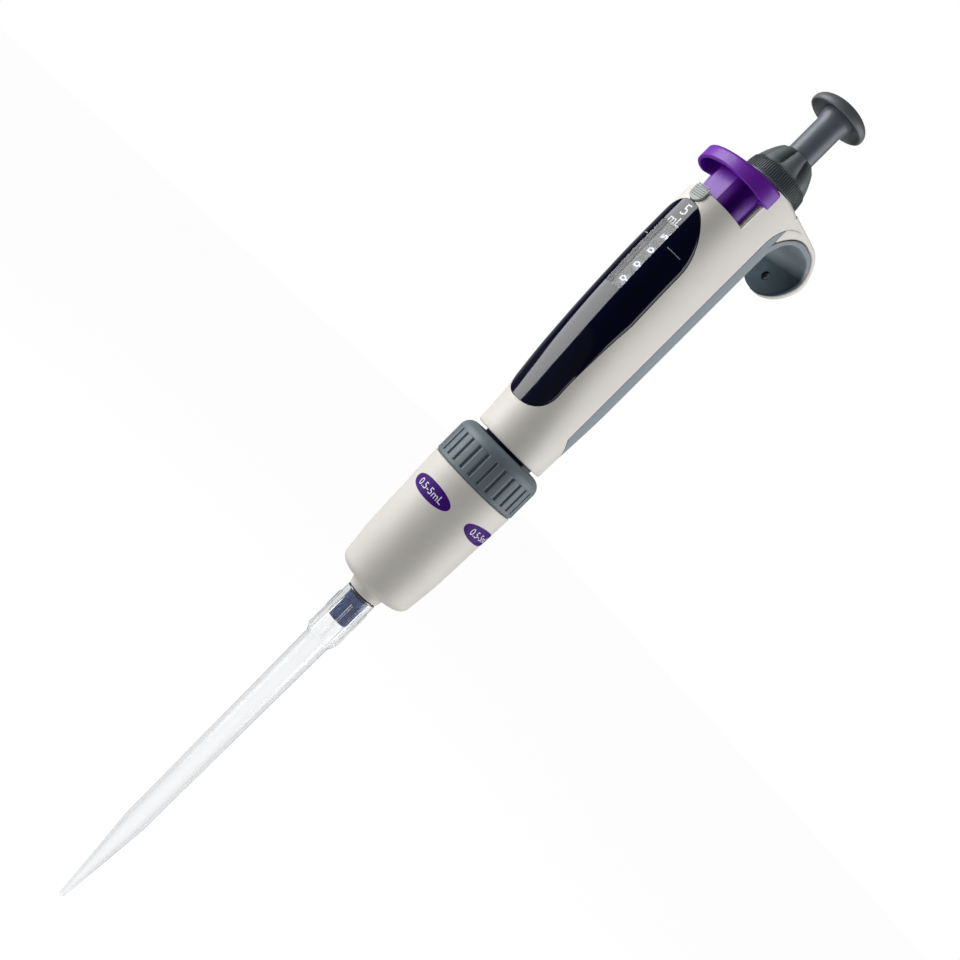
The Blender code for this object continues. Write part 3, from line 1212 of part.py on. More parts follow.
def make_counter():
    """Counter: zero ring, three drums, axles, carry pinions, input gear and frame."""
    bottom = FRAME_BOTTOM_Z
    top = FRAME_TOP_Z
    axle_centre = (0.0, -COUNTER_Y)
    carry_x = (DRUM_TEETH + PINION_TEETH) * CARRY_MODULE / 2
    carry_centre = (carry_x, -COUNTER_Y)
    make_drum("zero_ring", 0, False, False)
    make_drum("drum_hundredths", 1, False, True)
    make_drum("drum_tenths", 2, True, True)
    make_drum("drum_ones", 3, True, False)
    axle = rod(COUNTER_AXLE_R, bottom + GAP, top - GAP, TINY, axle_centre)
    smooth(add_part("counter_axle", axle, STEEL, (*axle_centre, bottom)), 40)
    half_tooth = math.pi / INPUT_TEETH
    inlet = gear(INPUT_TEETH, COUNTER_MODULE, COUNTER_AXLE_R + GAP, GEAR_Z, GEAR_Z + GEAR_WIDTH,
                 axle_centre,
                 math.pi / 2 + half_tooth)
    add_part("input_gear", inlet, DRUM_WHITE, (*axle_centre, GEAR_Z))
    carry = rod(CARRY_AXLE_R, bottom + FRAME_PLATE / 2, top - FRAME_PLATE / 2, TINY, carry_centre)
    smooth(add_part("carry_axle", carry, STEEL), 40)
    pinion_half_tooth = math.pi / PINION_TEETH
    for name, place in (("carry_pinion_low", 2), ("carry_pinion_high", 3)):
        low = drum_level(place - 1) + DRUM_BAND / 2 + GAP
        high = drum_level(place) - DRUM_BAND / 2 - GAP
        pinion = gear(PINION_TEETH, CARRY_MODULE, PINION_BORE_R, low, high, carry_centre,
                      math.pi + pinion_half_tooth)
        add_part(name, pinion, DRUM_WHITE, (*carry_centre, low))
    make_counter_frame(axle_centre, carry_centre)


def make_counter_frame(axle_centre, carry_centre):
    """Frame of two plates and a side wall, shaped to the inside of the handle."""
    wide = 2 * HANDLE_HALF_WIDTH
    frame = add_part("counter_frame", frame_plate(FRAME_BOTTOM_Z), INNER_PLASTIC)
    combine(frame, frame_plate(FRAME_TOP_Z - FRAME_PLATE), "UNION")
    wall_x = DRUM_R + GAP
    wall = block(-wall_x - FRAME_WALL, -wall_x, -COUNTER_Y - 2 * FRAME_WALL, -FRAME_REAR - FRAME_WALL,
                 FRAME_BOTTOM_Z + FRAME_PLATE / 2, FRAME_TOP_Z - FRAME_PLATE / 2)
    combine(frame, wall, "UNION")
    combine(frame, block(-wide, wide, -FRAME_REAR, wide, FRAME_BOTTOM_Z - REACH, FRAME_TOP_Z + REACH),
            "DIFFERENCE")
    for side in (1, -1):
        notch = block(*sorted((side * FRAME_ARM_X, side * wide)), -FRAME_ARM_Y, wide,
                      FRAME_BOTTOM_Z - REACH,
                      FRAME_TOP_Z + REACH)
        combine(frame, notch, "DIFFERENCE")
    for centre, radius in ((axle_centre, COUNTER_AXLE_R + GAP), (carry_centre, CARRY_AXLE_R + GAP)):
        hole = rod(radius, FRAME_BOTTOM_Z - REACH, FRAME_TOP_Z + REACH, TINY, centre)
        combine(frame, hole, "DIFFERENCE")
    return frame


def frame_plate(bottom):
    """One plate of the counter frame, as wide as the handle's hollow."""
    return handle_form(HANDLE_WALL + GAP, bottom, bottom + FRAME_PLATE)


# springs

def make_springs():
    """Plunger springs on the head's floor, and the ejector's spring on the counter frame."""
    floor = SPRING_FLOOR_Z + GAP
    collar_bottom = COLLAR_TOP_Z - COLLAR_HEIGHT
    primary = coil(PRIMARY_SPRING_R, PRIMARY_SPRING_WIRE_R, floor, collar_bottom - GAP,
                   PRIMARY_SPRING_TURNS)
    smooth(add_part("primary_spring", primary, STEEL), 60)
    blowout_top = collar_bottom - MEASURE_STROKE
    blowout = coil(BLOWOUT_SPRING_R, BLOWOUT_SPRING_WIRE_R, floor, blowout_top, BLOWOUT_SPRING_TURNS)
    smooth(add_part("blowout_spring", blowout, STEEL), 60)
    eject = coil(EJECT_SPRING_R, EJECT_SPRING_WIRE_R, FRAME_TOP_Z + GAP,
                 FRAME_TOP_Z + GAP + EJECT_SPRING_LENGTH,
                 EJECT_SPRING_TURNS, (0.0, -EJECT_SPRING_Y), per_turn=8)
    smooth(add_part("ejector_spring", eject, STEEL), 60)


make_tip()
make_nozzle()
make_cylinder()
make_head()
make_plunger()
make_sleeve()
make_ring_nut()
make_fork()
make_ejector_button()
make_housing()
make_grip()
make_lens()
make_lock()
make_hook_screw()
make_core()
make_drive()
make_counter()
make_springs()
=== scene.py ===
"""Looks of an air-displacement micropipette for 0.5 to 5 mL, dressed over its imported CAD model.

Shapes are drawn with heights counted from the open end of the tip, and moved into the CAD frame when
they become pieces. The window and the ejector face -Y, the hook +Y.
"""

import math

import bmesh
import bpy
from mathutils import Matrix, Vector


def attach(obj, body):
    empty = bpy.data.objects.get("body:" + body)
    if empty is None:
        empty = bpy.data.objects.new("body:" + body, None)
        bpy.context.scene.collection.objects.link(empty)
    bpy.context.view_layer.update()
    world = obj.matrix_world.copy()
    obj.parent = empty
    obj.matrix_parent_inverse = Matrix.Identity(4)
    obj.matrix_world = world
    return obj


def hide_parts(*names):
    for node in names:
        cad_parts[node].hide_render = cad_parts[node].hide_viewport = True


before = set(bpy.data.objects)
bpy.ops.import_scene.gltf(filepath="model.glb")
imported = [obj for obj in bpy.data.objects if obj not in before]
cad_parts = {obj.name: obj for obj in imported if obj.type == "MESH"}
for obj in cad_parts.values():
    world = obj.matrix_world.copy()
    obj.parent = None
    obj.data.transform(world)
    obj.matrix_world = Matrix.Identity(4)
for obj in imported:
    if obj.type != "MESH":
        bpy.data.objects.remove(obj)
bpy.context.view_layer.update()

MM = 0.001
# points nearer than this are joined
MERGE = 0.002 * MM
AXIS = Vector((0.0, -24.0 * MM, -347.0 * MM))
# play between neighbouring pieces, and how far a cutting shape goes beyond what it cuts
GAP = 0.3 * MM
REACH = 1.0 * MM

# how finely pieces are divided
ROUND = 96
SMALL = 48

# photograph: camera round the pipette's axis
VIEW_AZIMUTH = 42.0
VIEW_DISTANCE = 424.0 * MM
VIEW_HEIGHT = 233.0 * MM
VIEW_MIDDLE = 207.9 * MM
VIEW_SIDE = 0.85 * MM
AXIS_TILT = 44.95
LENS_LENGTH = 45.0
SENSOR = 36.0


# finishes

WHITE = (1.0, 1.0, 1.0, 1.0)
TONE_FINENESS = 70.0
GLOSS_FINENESS = 420.0
TEXTURE_DEPTH = 0.02 * MM
RING_STRETCH = (60.0, 60.0, 9000.0)
# where the painted shade inside the hook begins and ends, across the hook and downwards
HOOK_PAINTED_SHADE_Y = (-6.5 * MM, -2.0 * MM)
HOOK_PAINTED_SHADE_Z = (1.0 * MM, -9.0 * MM)


def feed(tree, node, **inputs):
    """Set a node's inputs to values, or link them where a socket is given."""
    for name, value in inputs.items():
        socket = node.inputs[name.replace("_", " ")]
        if isinstance(value, bpy.types.NodeSocket):
            tree.links.new(value, socket)
        else:
            socket.default_value = value
    return node


def add(tree, kind, **inputs):
    """A new node with its inputs fed."""
    return feed(tree, tree.nodes.new(kind), **inputs)


def start_finish(name):
    """A new node finish with its shader and the object's own coordinates."""
    finish = bpy.data.materials.new(name)
    finish.use_nodes = True
    tree = finish.node_tree
    return finish, tree, tree.nodes["Principled BSDF"], add(tree, "ShaderNodeTexCoord").outputs["Object"]


def speckle(tree, place, scale, detail=3.0):
    """Noise of a given fineness, in features per metre."""
    return add(tree, "ShaderNodeTexNoise", Vector=place, Scale=scale, Detail=detail).outputs["Fac"]


def remap(tree, value, low, high, start=0.3, end=0.7):
    """A value stretched to run from low to high; noise mostly lies between 0.3 and 0.7."""
    return add(tree, "ShaderNodeMapRange", Value=value, From_Min=start, From_Max=end, To_Min=low,
               To_Max=high).outputs["Result"]


def two_tones(tree, value, first, second, start=0.32, end=0.68):
    """A colour that goes from one tone to another."""
    ramp = add(tree, "ShaderNodeValToRGB", Fac=value)
    for element, position, tone in zip(ramp.color_ramp.elements, (start, end), (first, second)):
        element.position = position
        element.color = (*tone, 1.0)
    return ramp.outputs["Color"]


def grain(tree, shader, value, depth, strength):
    """Fine relief on a surface."""
    bump = add(tree, "ShaderNodeBump", Height=value, Distance=depth, Strength=strength)
    feed(tree, shader, Normal=bump.outputs["Normal"])


def maths(tree, operation, first, second):
    """One sum on two values, each a socket or a number."""
    node = tree.nodes.new("ShaderNodeMath")
    node.operation = operation
    for socket, value in zip(node.inputs, (first, second)):
        if isinstance(value, float):
            socket.default_value = value
        else:
            tree.links.new(value, socket)
    return node.outputs["Value"]


def mix_shaders(tree, share, first, second):
    """A mix of two shaders as the surface."""
    mix = add(tree, "ShaderNodeMixShader", Fac=share)
    tree.links.new(first, mix.inputs[1])
    tree.links.new(second, mix.inputs[2])
    feed(tree, tree.nodes["Material Output"], Surface=mix.outputs["Shader"])


def moulded(name, colour, roughness, drift=0.05, texture=5200.0, strength=0.25, **more):
    """Injection-moulded plastic: slow drift of tone, uneven gloss and the mould's fine texture."""
    finish, tree, shader, place = start_finish(name)
    tones = [[c * (1 + change) for c in colour] for change in (-drift, drift)]
    feed(tree, shader, Base_Color=two_tones(tree, speckle(tree, place, TONE_FINENESS), *tones),
         Roughness=remap(tree, speckle(tree, place, GLOSS_FINENESS), roughness - 0.04, roughness + 0.05),
         **more)
    grain(tree, shader, speckle(tree, place, texture, 2.0), TEXTURE_DEPTH, strength)
    return finish


def machined(name, colour, roughness):
    """Turned metal with fine rings round the pipette's axis."""
    finish, tree, shader, place = start_finish(name)
    stretch = add(tree, "ShaderNodeMapping", Vector=place, Scale=RING_STRETCH)
    rings = speckle(tree, stretch.outputs["Vector"], 1.0, 2.0)
    feed(tree, shader, Metallic=1.0, Base_Color=two_tones(tree, rings, [0.9 * c for c in colour], colour),
         Roughness=remap(tree, rings, roughness, roughness + 0.12))
    grain(tree, shader, rings, 0.01 * MM, 0.2)
    return finish


def clear_plastic(name, middle, edge, roughness):
    """Clear plastic with painted shade that greys it where it is seen edge-on, and a moulding's slightly uneven
    gloss.
    """
    finish, tree, shader, place = start_finish(name)
    # painted shade: the colour turns from the middle tone to the edge tone as the surface turns edge-on to the
    # view
    facing = add(tree, "ShaderNodeLayerWeight", Blend=0.35).outputs["Facing"]
    tint = two_tones(tree, facing, middle, edge, 0.0, 1.0)
    feed(tree, shader, Transmission_Weight=1.0, IOR=1.45, Base_Color=tint,
         Roughness=remap(tree, speckle(tree, place, 90.0), roughness, roughness + 0.04))
    grain(tree, shader, speckle(tree, place, 60.0), 0.1 * MM, 0.04)
    return finish


def window_glass(name, tint):
    """Thin clear pane: tinted see-through under a gloss that grows edge-on."""
    finish, tree, shader, place = start_finish(name)
    feed(tree, shader, Metallic=1.0, Base_Color=WHITE,
         Roughness=remap(tree, speckle(tree, place, 300.0), 0.03, 0.06))
    drift = two_tones(tree, speckle(tree, place, TONE_FINENESS), [0.98 * c for c in tint], tint)
    clear = add(tree, "ShaderNodeBsdfTransparent", Color=drift)
    facing = add(tree, "ShaderNodeLayerWeight", Blend=0.5).outputs["Facing"]
    gloss = maths(tree, "ADD", maths(tree, "MULTIPLY", maths(tree, "POWER", facing, 5.0), 0.9), 0.03)
    mix_shaders(tree, gloss, clear.outputs["BSDF"], shader.outputs["BSDF"])
    return finish


def grip_rubber(name, light, dark, roughness):
    """Soft grip plastic with painted shade that darkens it down the inside of the hook."""
    finish = moulded(name, light, roughness, texture=3600.0, strength=0.3, Specular_IOR_Level=0.3)
    tree = finish.node_tree
    place = tree.nodes["Texture Coordinate"].outputs["Object"]
    apart = add(tree, "ShaderNodeSeparateXYZ", Vector=place).outputs
    inwards = remap(tree, apart["Y"], 0.0, 1.0, *HOOK_PAINTED_SHADE_Y)
    down = remap(tree, apart["Z"], 0.0, 1.0, *HOOK_PAINTED_SHADE_Z)
    # painted shade: the grip's colour falls to near black towards the lip and downwards inside the hook
    shade = two_tones(tree, maths(tree, "MULTIPLY", inwards, down), light, dark)
    feed(tree, tree.nodes["Principled BSDF"], Base_Color=shade)
    return finish


def paper(name, colour):
    """Pressed fibres of the filter."""
    finish, tree, shader, place = start_finish(name)
    fibres = speckle(tree, place, 1800.0, 6.0)
    feed(tree, shader, Roughness=0.95, Base_Color=two_tones(tree, fibres, [0.8 * c for c in colour], colour))
    grain(tree, shader, speckle(tree, place, 2600.0, 6.0), 0.1 * MM, 0.8)
    return finish


BODY_WHITE = moulded("warm_white_moulding", (0.76, 0.735, 0.685), 0.42, 0.02, strength=0.12)
# the second colour is the painted shade inside the hook
GRIP_GREY_PAINTED_SHADE = grip_rubber("soft_grip_painted_shade", (0.27, 0.31, 0.345), (0.008, 0.032, 0.050), 0.62)
NUT_GREY = moulded("ring_nut_grey", (0.15, 0.19, 0.215), 0.48, strength=0.2)
KNOB_GREY = moulded("knob_dark_grey", (0.150, 0.172, 0.180), 0.44, strength=0.2)
BUTTON_GREY = moulded("button_dark_grey", (0.130, 0.145, 0.152), 0.42)
STEM_GREY = moulded("stem_grey", (0.125, 0.14, 0.168), 0.36, strength=0.08)
PURPLE = moulded("ejector_purple", (0.165, 0.012, 0.42), 0.38, strength=0.1)
OVAL_PURPLE = moulded("printed_purple", (0.052, 0.0, 0.20), 0.50, strength=0.05, Specular_IOR_Level=0.2)
LENS_NAVY = moulded("lens_navy_gloss", (0.0010, 0.0016, 0.013), 0.06, texture=600.0, strength=0.01)
LOCK_GREY = moulded("lock_slide_grey", (0.36, 0.39, 0.385), 0.45, strength=0.2)
NECK_NAVY = moulded("neck_navy", (0.014, 0.028, 0.075), 0.35)
NOZZLE_BLUE = moulded("nozzle_blue", (0.001, 0.028, 0.14), 0.32)
INNER_GREY = moulded("inner_plastic", (0.30, 0.31, 0.33), 0.50)
DRUM_GREY = moulded("drum_slate", (0.16, 0.17, 0.19), 0.45)
GEAR_WHITE = moulded("gear_white", (0.72, 0.71, 0.69), 0.50)
RUBBER_BLACK = moulded("seal_rubber", (0.012, 0.012, 0.014), 0.68, strength=0.5)
PRINT_WHITE = moulded("printed_white", (0.82, 0.83, 0.84), 0.45, 0.01, strength=0.05)
# the figures glow with painted light, so that they read bright in the shade behind the window pane
FIGURE_PAINTED_GLOW_WHITE = moulded("figure_white_painted_glow", (0.86, 0.87, 0.88), 0.6, 0.01, strength=0.05,
                       Emission_Color=(0.86, 0.87, 0.88, 1.0), Emission_Strength=0.8)
PRINT_GREY = moulded("printed_grey", (0.30, 0.36, 0.38), 0.45, 0.01, strength=0.05)
STEEL = machined("turned_steel", (0.62, 0.62, 0.63), 0.24)
BRASS = machined("turned_brass", (0.64, 0.45, 0.18), 0.28)
# the tip's edge tone is painted shade
TIP_CLEAR = clear_plastic("tip_clear", (0.985, 0.99, 0.992), (0.50, 0.54, 0.58), 0.08)
WINDOW_CLEAR = window_glass("window_clear", (0.92, 0.93, 0.96))
SCREW_BLACK = machined("blackened_steel", (0.02, 0.021, 0.024), 0.34)
FILTER_WHITE = paper("filter_fibre", (0.85, 0.85, 0.83))


# making pieces

def weld(bm):
    """Join points that lie together."""
    bmesh.ops.remove_doubles(bm, verts=bm.verts, dist=MERGE)


def shift(bm, way):
    """Move a loose shape."""
    bmesh.ops.translate(bm, verts=bm.verts, vec=way)


def show(name, data):
    """A new object in the scene."""
    holder = bpy.data.objects.new(name, data)
    bpy.context.scene.collection.objects.link(holder)
    return holder


def to_mesh(name, bm):
    """A mesh made of a loose shape, which is used up."""
    mesh = bpy.data.meshes.new(name)
    bm.to_mesh(mesh)
    bm.free()
    return mesh


def take(holder):
    """A holder's evaluated form as a loose shape; the holder goes."""
    bpy.context.view_layer.update()
    graph = bpy.context.evaluated_depsgraph_get()
    bm = bmesh.new()
    bm.from_mesh(bpy.data.meshes.new_from_object(holder.evaluated_get(graph)))
    holder.modifiers.clear()
    bpy.data.objects.remove(holder, do_unlink=True)
    return bm


def as_piece(name, bm, finish, body, nodes=(), slot=None, sharp=35.0):
    """Turn a drawn shape into a piece that rides on a body, smooth between its edges."""
    weld(bm)
    shift(bm, AXIS)
    bmesh.ops.recalc_face_normals(bm, faces=bm.faces)
    mesh = to_mesh(name, bm)
    mesh.materials.append(finish)
    for face in mesh.polygons:
        face.material_index = 0
    mesh.shade_smooth()
    mesh.set_sharp_from_angle(angle=math.radians(sharp))
    piece = show(name, mesh)
    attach(piece, body)
    if nodes:
        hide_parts(*nodes)


def carve(bm, *tools, operation="DIFFERENCE"):
    """Cut loose shapes out of another one after the other, or join or intersect it with them."""
    for tool in tools:
        pair = []
        for shape in (bm, tool):
            bmesh.ops.recalc_face_normals(shape, faces=shape.faces)
            pair.append(show("shape", to_mesh("shape", shape)))
        step = pair[0].modifiers.new("step", "BOOLEAN")
        step.operation = operation
        step.solver = "EXACT"
        step.object = pair[1]
        bm = take(pair[0])
        bpy.data.objects.remove(pair[1], do_unlink=True)
    return bm


def scaled(points):
    """Points given in millimetres, in metres."""
    return [(first * MM, second * MM) for first, second in points]


def skin(sections, closed=False):
    """Skin a row of rings with equal numbers of points; both ends are closed, or joined if it is a loop."""
    bm = bmesh.new()
    rings = [[bm.verts.new(point) for point in section] for section in sections]
    following = rings[1:] + rings[:1] if closed else rings[1:]
    for lower, upper in zip(rings, following):
        for i in range(len(lower)):
            j = (i + 1) % len(lower)
            bm.faces.new((lower[i], lower[j], upper[j], upper[i]))
    if not closed:
        bm.faces.new(rings[0])
        bm.faces.new(rings[-1])
    return bm


def turned(profile, steps=ROUND, centre=(0.0, 0.0)):
    """Spin a closed outline of (radius, height) points about an upright line."""
    bm = bmesh.new()
    ring = [bm.verts.new((radius, 0.0, height)) for radius, height in profile]
    edges = []
    for here, there in zip(ring, ring[1:] + ring[:1]):
        if here.co.x > 0.0 or there.co.x > 0.0:
            edges.append(bm.edges.new((here, there)))
    bmesh.ops.spin(bm, geom=ring + edges, axis=(0, 0, 1), cent=(0, 0, 0), steps=steps, angle=math.tau)
    weld(bm)
    shift(bm, (*centre, 0.0))
    return bm


def bow(centre, radii, start, end, steps):
    """Points on an ellipse between two angles in degrees."""
    points = []
    for i in range(steps + 1):
        angle = math.radians(start + (end - start) * i / steps)
        points.append((centre[0] + radii[0] * math.cos(angle), centre[1] + radii[1] * math.sin(angle)))
    return points


def upright(outline, bottom, top):
    """An outline of (x, y) points, drawn upwards."""
    return skin([[(x, y, height) for x, y in outline] for height in (bottom, top)])


def sideways(outline, half_width):
    """An outline of (y, z) points, drawn across the handle."""
    return skin([[(x, y, z) for y, z in outline] for x in (-half_width, half_width)])


def forwards(outline, rear, front):
    """An outline of (x, z) points, drawn along Y."""
    return skin([[(x, y, z) for x, z in outline] for y in (rear, front)])


def box_shape(x0, x1, y0, y1, z0, z1):
    """A straight block between two corners."""
    return upright(((x0, y0), (x1, y0), (x1, y1), (x0, y1)), z0, z1)


def rod(radius, low, high, steps=ROUND, centre=(0.0, 0.0)):
    """An upright cylinder between two heights."""
    return turned(((0.0, low), (radius, low), (radius, high), (0.0, high)), steps, centre)


def rounded(share, power):
    """A sine or cosine raised to a power, for outlines between an ellipse and an oblong."""
    return math.copysign(abs(share) ** power, share)


def polished(node, finish, body, slot):
    """A CAD node with its triangles joined, shaded smooth and given its finish."""
    bm = bmesh.new()
    bm.from_mesh(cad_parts[node].data)
    shift(bm, -AXIS)
    weld(bm)
    as_piece(node + "_finished", bm, finish, body, (node,), slot)


# Geometry Nodes trees for what repeats

def start_tree(name, *inputs):
    """A tree with its sockets, and the sockets by which a rib, its numbers and its finish come in."""
    tree = bpy.data.node_groups.new(name, "GeometryNodeTree")
    for label, kind in (("Rib", "Geometry"), *inputs, ("Finish", "Material")):
        tree.interface.new_socket(label, in_out="INPUT", socket_type="NodeSocket" + kind)
    tree.interface.new_socket("Geometry", in_out="OUTPUT", socket_type="NodeSocketGeometry")
    return tree, tree.nodes.new("NodeGroupInput").outputs


def end_tree(tree, entry, copies):
    """End a tree in real geometry with its finish."""
    real = add(tree, "GeometryNodeRealizeInstances", Geometry=copies.outputs["Instances"])
    paint = add(tree, "GeometryNodeSetMaterial", Geometry=real.outputs["Geometry"], Material=entry["Finish"])
    add(tree, "NodeGroupOutput", Geometry=paint.outputs["Geometry"])
    return tree


def ring_tree():
    """Copies of one rib, set out evenly round the axis and turned outwards."""
    tree, entry = start_tree("ribs_round_the_axis", ("Count", "Int"), ("Radius", "Float"))
    circle = add(tree, "GeometryNodeMeshCircle", Vertices=entry["Count"], Radius=entry["Radius"])
    place = add(tree, "GeometryNodeInputPosition").outputs["Position"]
    aim = add(tree, "FunctionNodeAlignRotationToVector", Vector=place)
    aim.axis = "X"
    aim.pivot_axis = "Z"
    copies = add(tree, "GeometryNodeInstanceOnPoints", Points=circle.outputs["Mesh"], Instance=entry["Rib"],
                 Rotation=aim.outputs["Rotation"])
    return end_tree(tree, entry, copies)


def row_tree():
    """Copies of one rib, set out in a straight row."""
    tree, entry = start_tree("ribs_in_a_row", ("Count", "Int"), ("Start", "Vector"), ("Step", "Vector"))
    line = add(tree, "GeometryNodeMeshLine", Count=entry["Count"], Start_Location=entry["Start"],
               Offset=entry["Step"])
    copies = add(tree, "GeometryNodeInstanceOnPoints", Points=line.outputs["Mesh"], Instance=entry["Rib"])
    return end_tree(tree, entry, copies)


RING_OF_RIBS = ring_tree()
ROW_OF_RIBS = row_tree()


def repeat(rib, tree, **sizes):
    """Run a tree on one drawn rib and return all its copies as a loose shape."""
    holder = show("rib", to_mesh("rib", rib))
    growth = holder.modifiers.new("copies", "NODES")
    growth.node_group = tree
    sockets = {item.name: item.identifier for item in tree.interface.items_tree if item.in_out == "INPUT"}
    for name, value in sizes.items():
        growth[sockets[name]] = value
    return take(holder)


# lettering

CAPITAL_SHARE = 0.70


def lettering(words, height, depth):
    """Flat letters standing on the XY plane, centred, as a loose shape."""
    curve = bpy.data.curves.new("letters", "FONT")
    curve.body = words
    curve.align_x = "CENTER"
    curve.align_y = "CENTER"
    curve.size = height / CAPITAL_SHARE
    curve.extrude = depth / 2
    curve.resolution_u = 4
    bm = take(show("letters", curve))
    xs = [vert.co.x for vert in bm.verts]
    ys = [vert.co.y for vert in bm.verts]
    middle = Vector(((min(xs) + max(xs)) / 2, (min(ys) + max(ys)) / 2, 0.0))
    shift(bm, -middle)
    weld(bm)
    return bm


def wrap(bm, surface, step, along=(1.0, 0.0, 0.0)):
    """Cut a flat shape into strips and move its points (across, up, out) on to a surface."""
    spread = [vert.co.dot(Vector(along)) for vert in bm.verts]
    low = min(spread)
    for k in range(1, int((max(spread) - low) / step) + 1):
        point = Vector(along) * (low + k * step)
        geometry = list(bm.verts) + list(bm.edges) + list(bm.faces)
        bmesh.ops.bisect_plane(bm, geom=geometry, plane_co=point, plane_no=along, dist=MERGE)
    for vert in bm.verts:
        vert.co = surface(*vert.co)
    return bm


# disposable tip and nozzle; outlines of turned pieces are (radius, height) in millimetres

TIP_PROFILE = ((1.05, 0.0), (4.3, 36.5), (5.1, 127.5), (5.4, 128.0), (6.0, 129.2), (6.2, 129.7),
               (6.2, 149.7), (5.9, 150.0), (5.3, 150.0), (5.0, 129.7), (4.35, 127.5), (3.55, 36.5), (0.55, 0.0))
TIP_COLLAR_R = 6.2 * MM
TIP_RIBS = 8
TIP_RIB = ((-0.25, -0.45), (0.30, -0.315), (0.45, 0.0), (0.30, 0.315), (-0.25, 0.45))
TIP_RIB_LEVELS = (129.7 * MM, 145.4 * MM)
TIP_RIB_TOP = 146.0 * MM
NOZZLE_PROFILE = ((2.8, 137.6), (3.95, 137.6), (4.3, 138.3), (4.3, 148.55), (3.5, 148.55), (3.5, 150.15),
                  (4.3, 150.15), (4.3, 156.7), (5.3, 156.7), (5.3, 157.7), (3.3, 157.7), (3.3, 160.0),
                  (1.6, 160.0), (1.6, 146.2), (2.8, 146.2))
O_RING_PROFILE = bow((4.3, 149.35), (0.5, 0.5), 0, 345, 23)


def make_tip():
    """Clear tip with its ribbed collar."""
    as_piece("tip_wall", turned(scaled(TIP_PROFILE)), TIP_CLEAR, "tip", ("tip",), "tip_clear")
    section = scaled(TIP_RIB)
    rings = [[(x, y, z) for x, y in section] for z in TIP_RIB_LEVELS]
    rings.append([(min(x, 0.0), y, TIP_RIB_TOP) for x, y in section])
    ribs = repeat(skin(rings), RING_OF_RIBS, Count=TIP_RIBS, Radius=TIP_COLLAR_R, Finish=TIP_CLEAR)
    as_piece("tip_collar_ribs", ribs, TIP_CLEAR, "tip", (), "tip_clear")


def make_nozzle():
    """Blue nozzle with its ring and its filter."""
    nozzle = turned(scaled(NOZZLE_PROFILE), SMALL)
    as_piece("nozzle_body", nozzle, NOZZLE_BLUE, "handle", ("nozzle",), "nozzle_blue")
    ring = turned(scaled(O_RING_PROFILE), SMALL)
    as_piece("nozzle_ring", ring, RUBBER_BLACK, "handle", ("nozzle_o_ring",), "seal_black", 60.0)
    polished("nozzle_filter", FILTER_WHITE, "handle", "filter_white")


# white ejector sleeve with its printed ovals

BARREL_STATIONS = ((154.6, 11.3), (158.6, 15.3), (169.8, 16.5), (190.2, 17.3), (205.2, 18.0))
OVAL_Z = 194.4
OVAL_HALF_ANGLE = 32.0
OVAL_HALF_HEIGHT = 3.35 * MM
OVAL_POWER = 0.92
OVAL_POINTS = 96
OVAL_FIRST = -30.0
OVAL_DEPTH = 0.3 * MM
WORDS_HEIGHT = 2.7 * MM
WORDS_DEPTH = 0.3 * MM
PRINT_PROUD = 0.04 * MM
WORDS_PROUD = 0.03 * MM
BARREL_STRIP = 0.8 * MM


def barrel_radius(height):
    """The sleeve's outer radius at a height between its stations, in millimetres."""
    for (z0, r0), (z1, r1) in zip(BARREL_STATIONS, BARREL_STATIONS[1:]):
        if height <= z1:
            return r0 + (r1 - r0) * (height - z0) / (z1 - z0)
    return BARREL_STATIONS[-1][1]


SLEEVE_PROFILE = ((5.3, 150.4), (5.7, 150.4), *bow((5.9, 151.0), (0.6, 0.6), -60, 0, 4), (7.2, 154.1),
                  (7.7, 154.6), *bow((11.3, 158.6), (4.0, 4.0), -90, 0, 12),
                  *((barrel_radius(z), z) for z in range(164, 204, 5)), (17.95, 204.9), (17.7, 205.2),
                  (16.0, 205.2), (16.0, 213.0), (14.4, 213.0), (14.4, 169.8), (13.6, 158.6), (11.3, 156.3),
                  (5.3, 156.3))


def on_barrel(azimuth):
    """The map from a flat print to the sleeve, centred at an azimuth from the camera."""
    turn = math.radians(azimuth + VIEW_AZIMUTH)

    def surface(across, up, out):
        radius = barrel_radius(OVAL_Z + up / MM) * MM + out
        angle = turn + across / (barrel_radius(OVAL_Z) * MM)
        return Vector((radius * math.sin(angle), -radius * math.cos(angle), OVAL_Z * MM + up))

    return surface


def make_sleeve():
    """Warm white sleeve: nose, rounded shoulder and slightly flared barrel."""
    barrel = turned(scaled(SLEEVE_PROFILE), 128)
    as_piece("sleeve_barrel", barrel, BODY_WHITE, "ejector", ("ejector_sleeve",), "body_white")
    half = math.radians(OVAL_HALF_ANGLE) * barrel_radius(OVAL_Z) * MM
    outline = []
    for i in range(OVAL_POINTS):
        angle = math.tau * i / OVAL_POINTS
        outline.append((half * rounded(math.cos(angle), OVAL_POWER),
                        OVAL_HALF_HEIGHT * rounded(math.sin(angle), OVAL_POWER)))
    for k in range(4):
        surface = on_barrel(OVAL_FIRST + 90.0 * k)
        oval = wrap(upright(outline, -OVAL_DEPTH, PRINT_PROUD), surface, BARREL_STRIP)
        as_piece(f"range_oval_{k + 1}", oval, OVAL_PURPLE, "ejector", (), "ejector_purple", 60.0)
        words = lettering("0.5-5mL", WORDS_HEIGHT, WORDS_DEPTH)
        lift = PRINT_PROUD - WORDS_DEPTH / 2 + WORDS_PROUD
        shift(words, (0.0, 0.0, lift))
        words = wrap(words, surface, BARREL_STRIP)
        as_piece(f"range_words_{k + 1}", words, PRINT_WHITE, "ejector", (), None, 60.0)


# ring nut

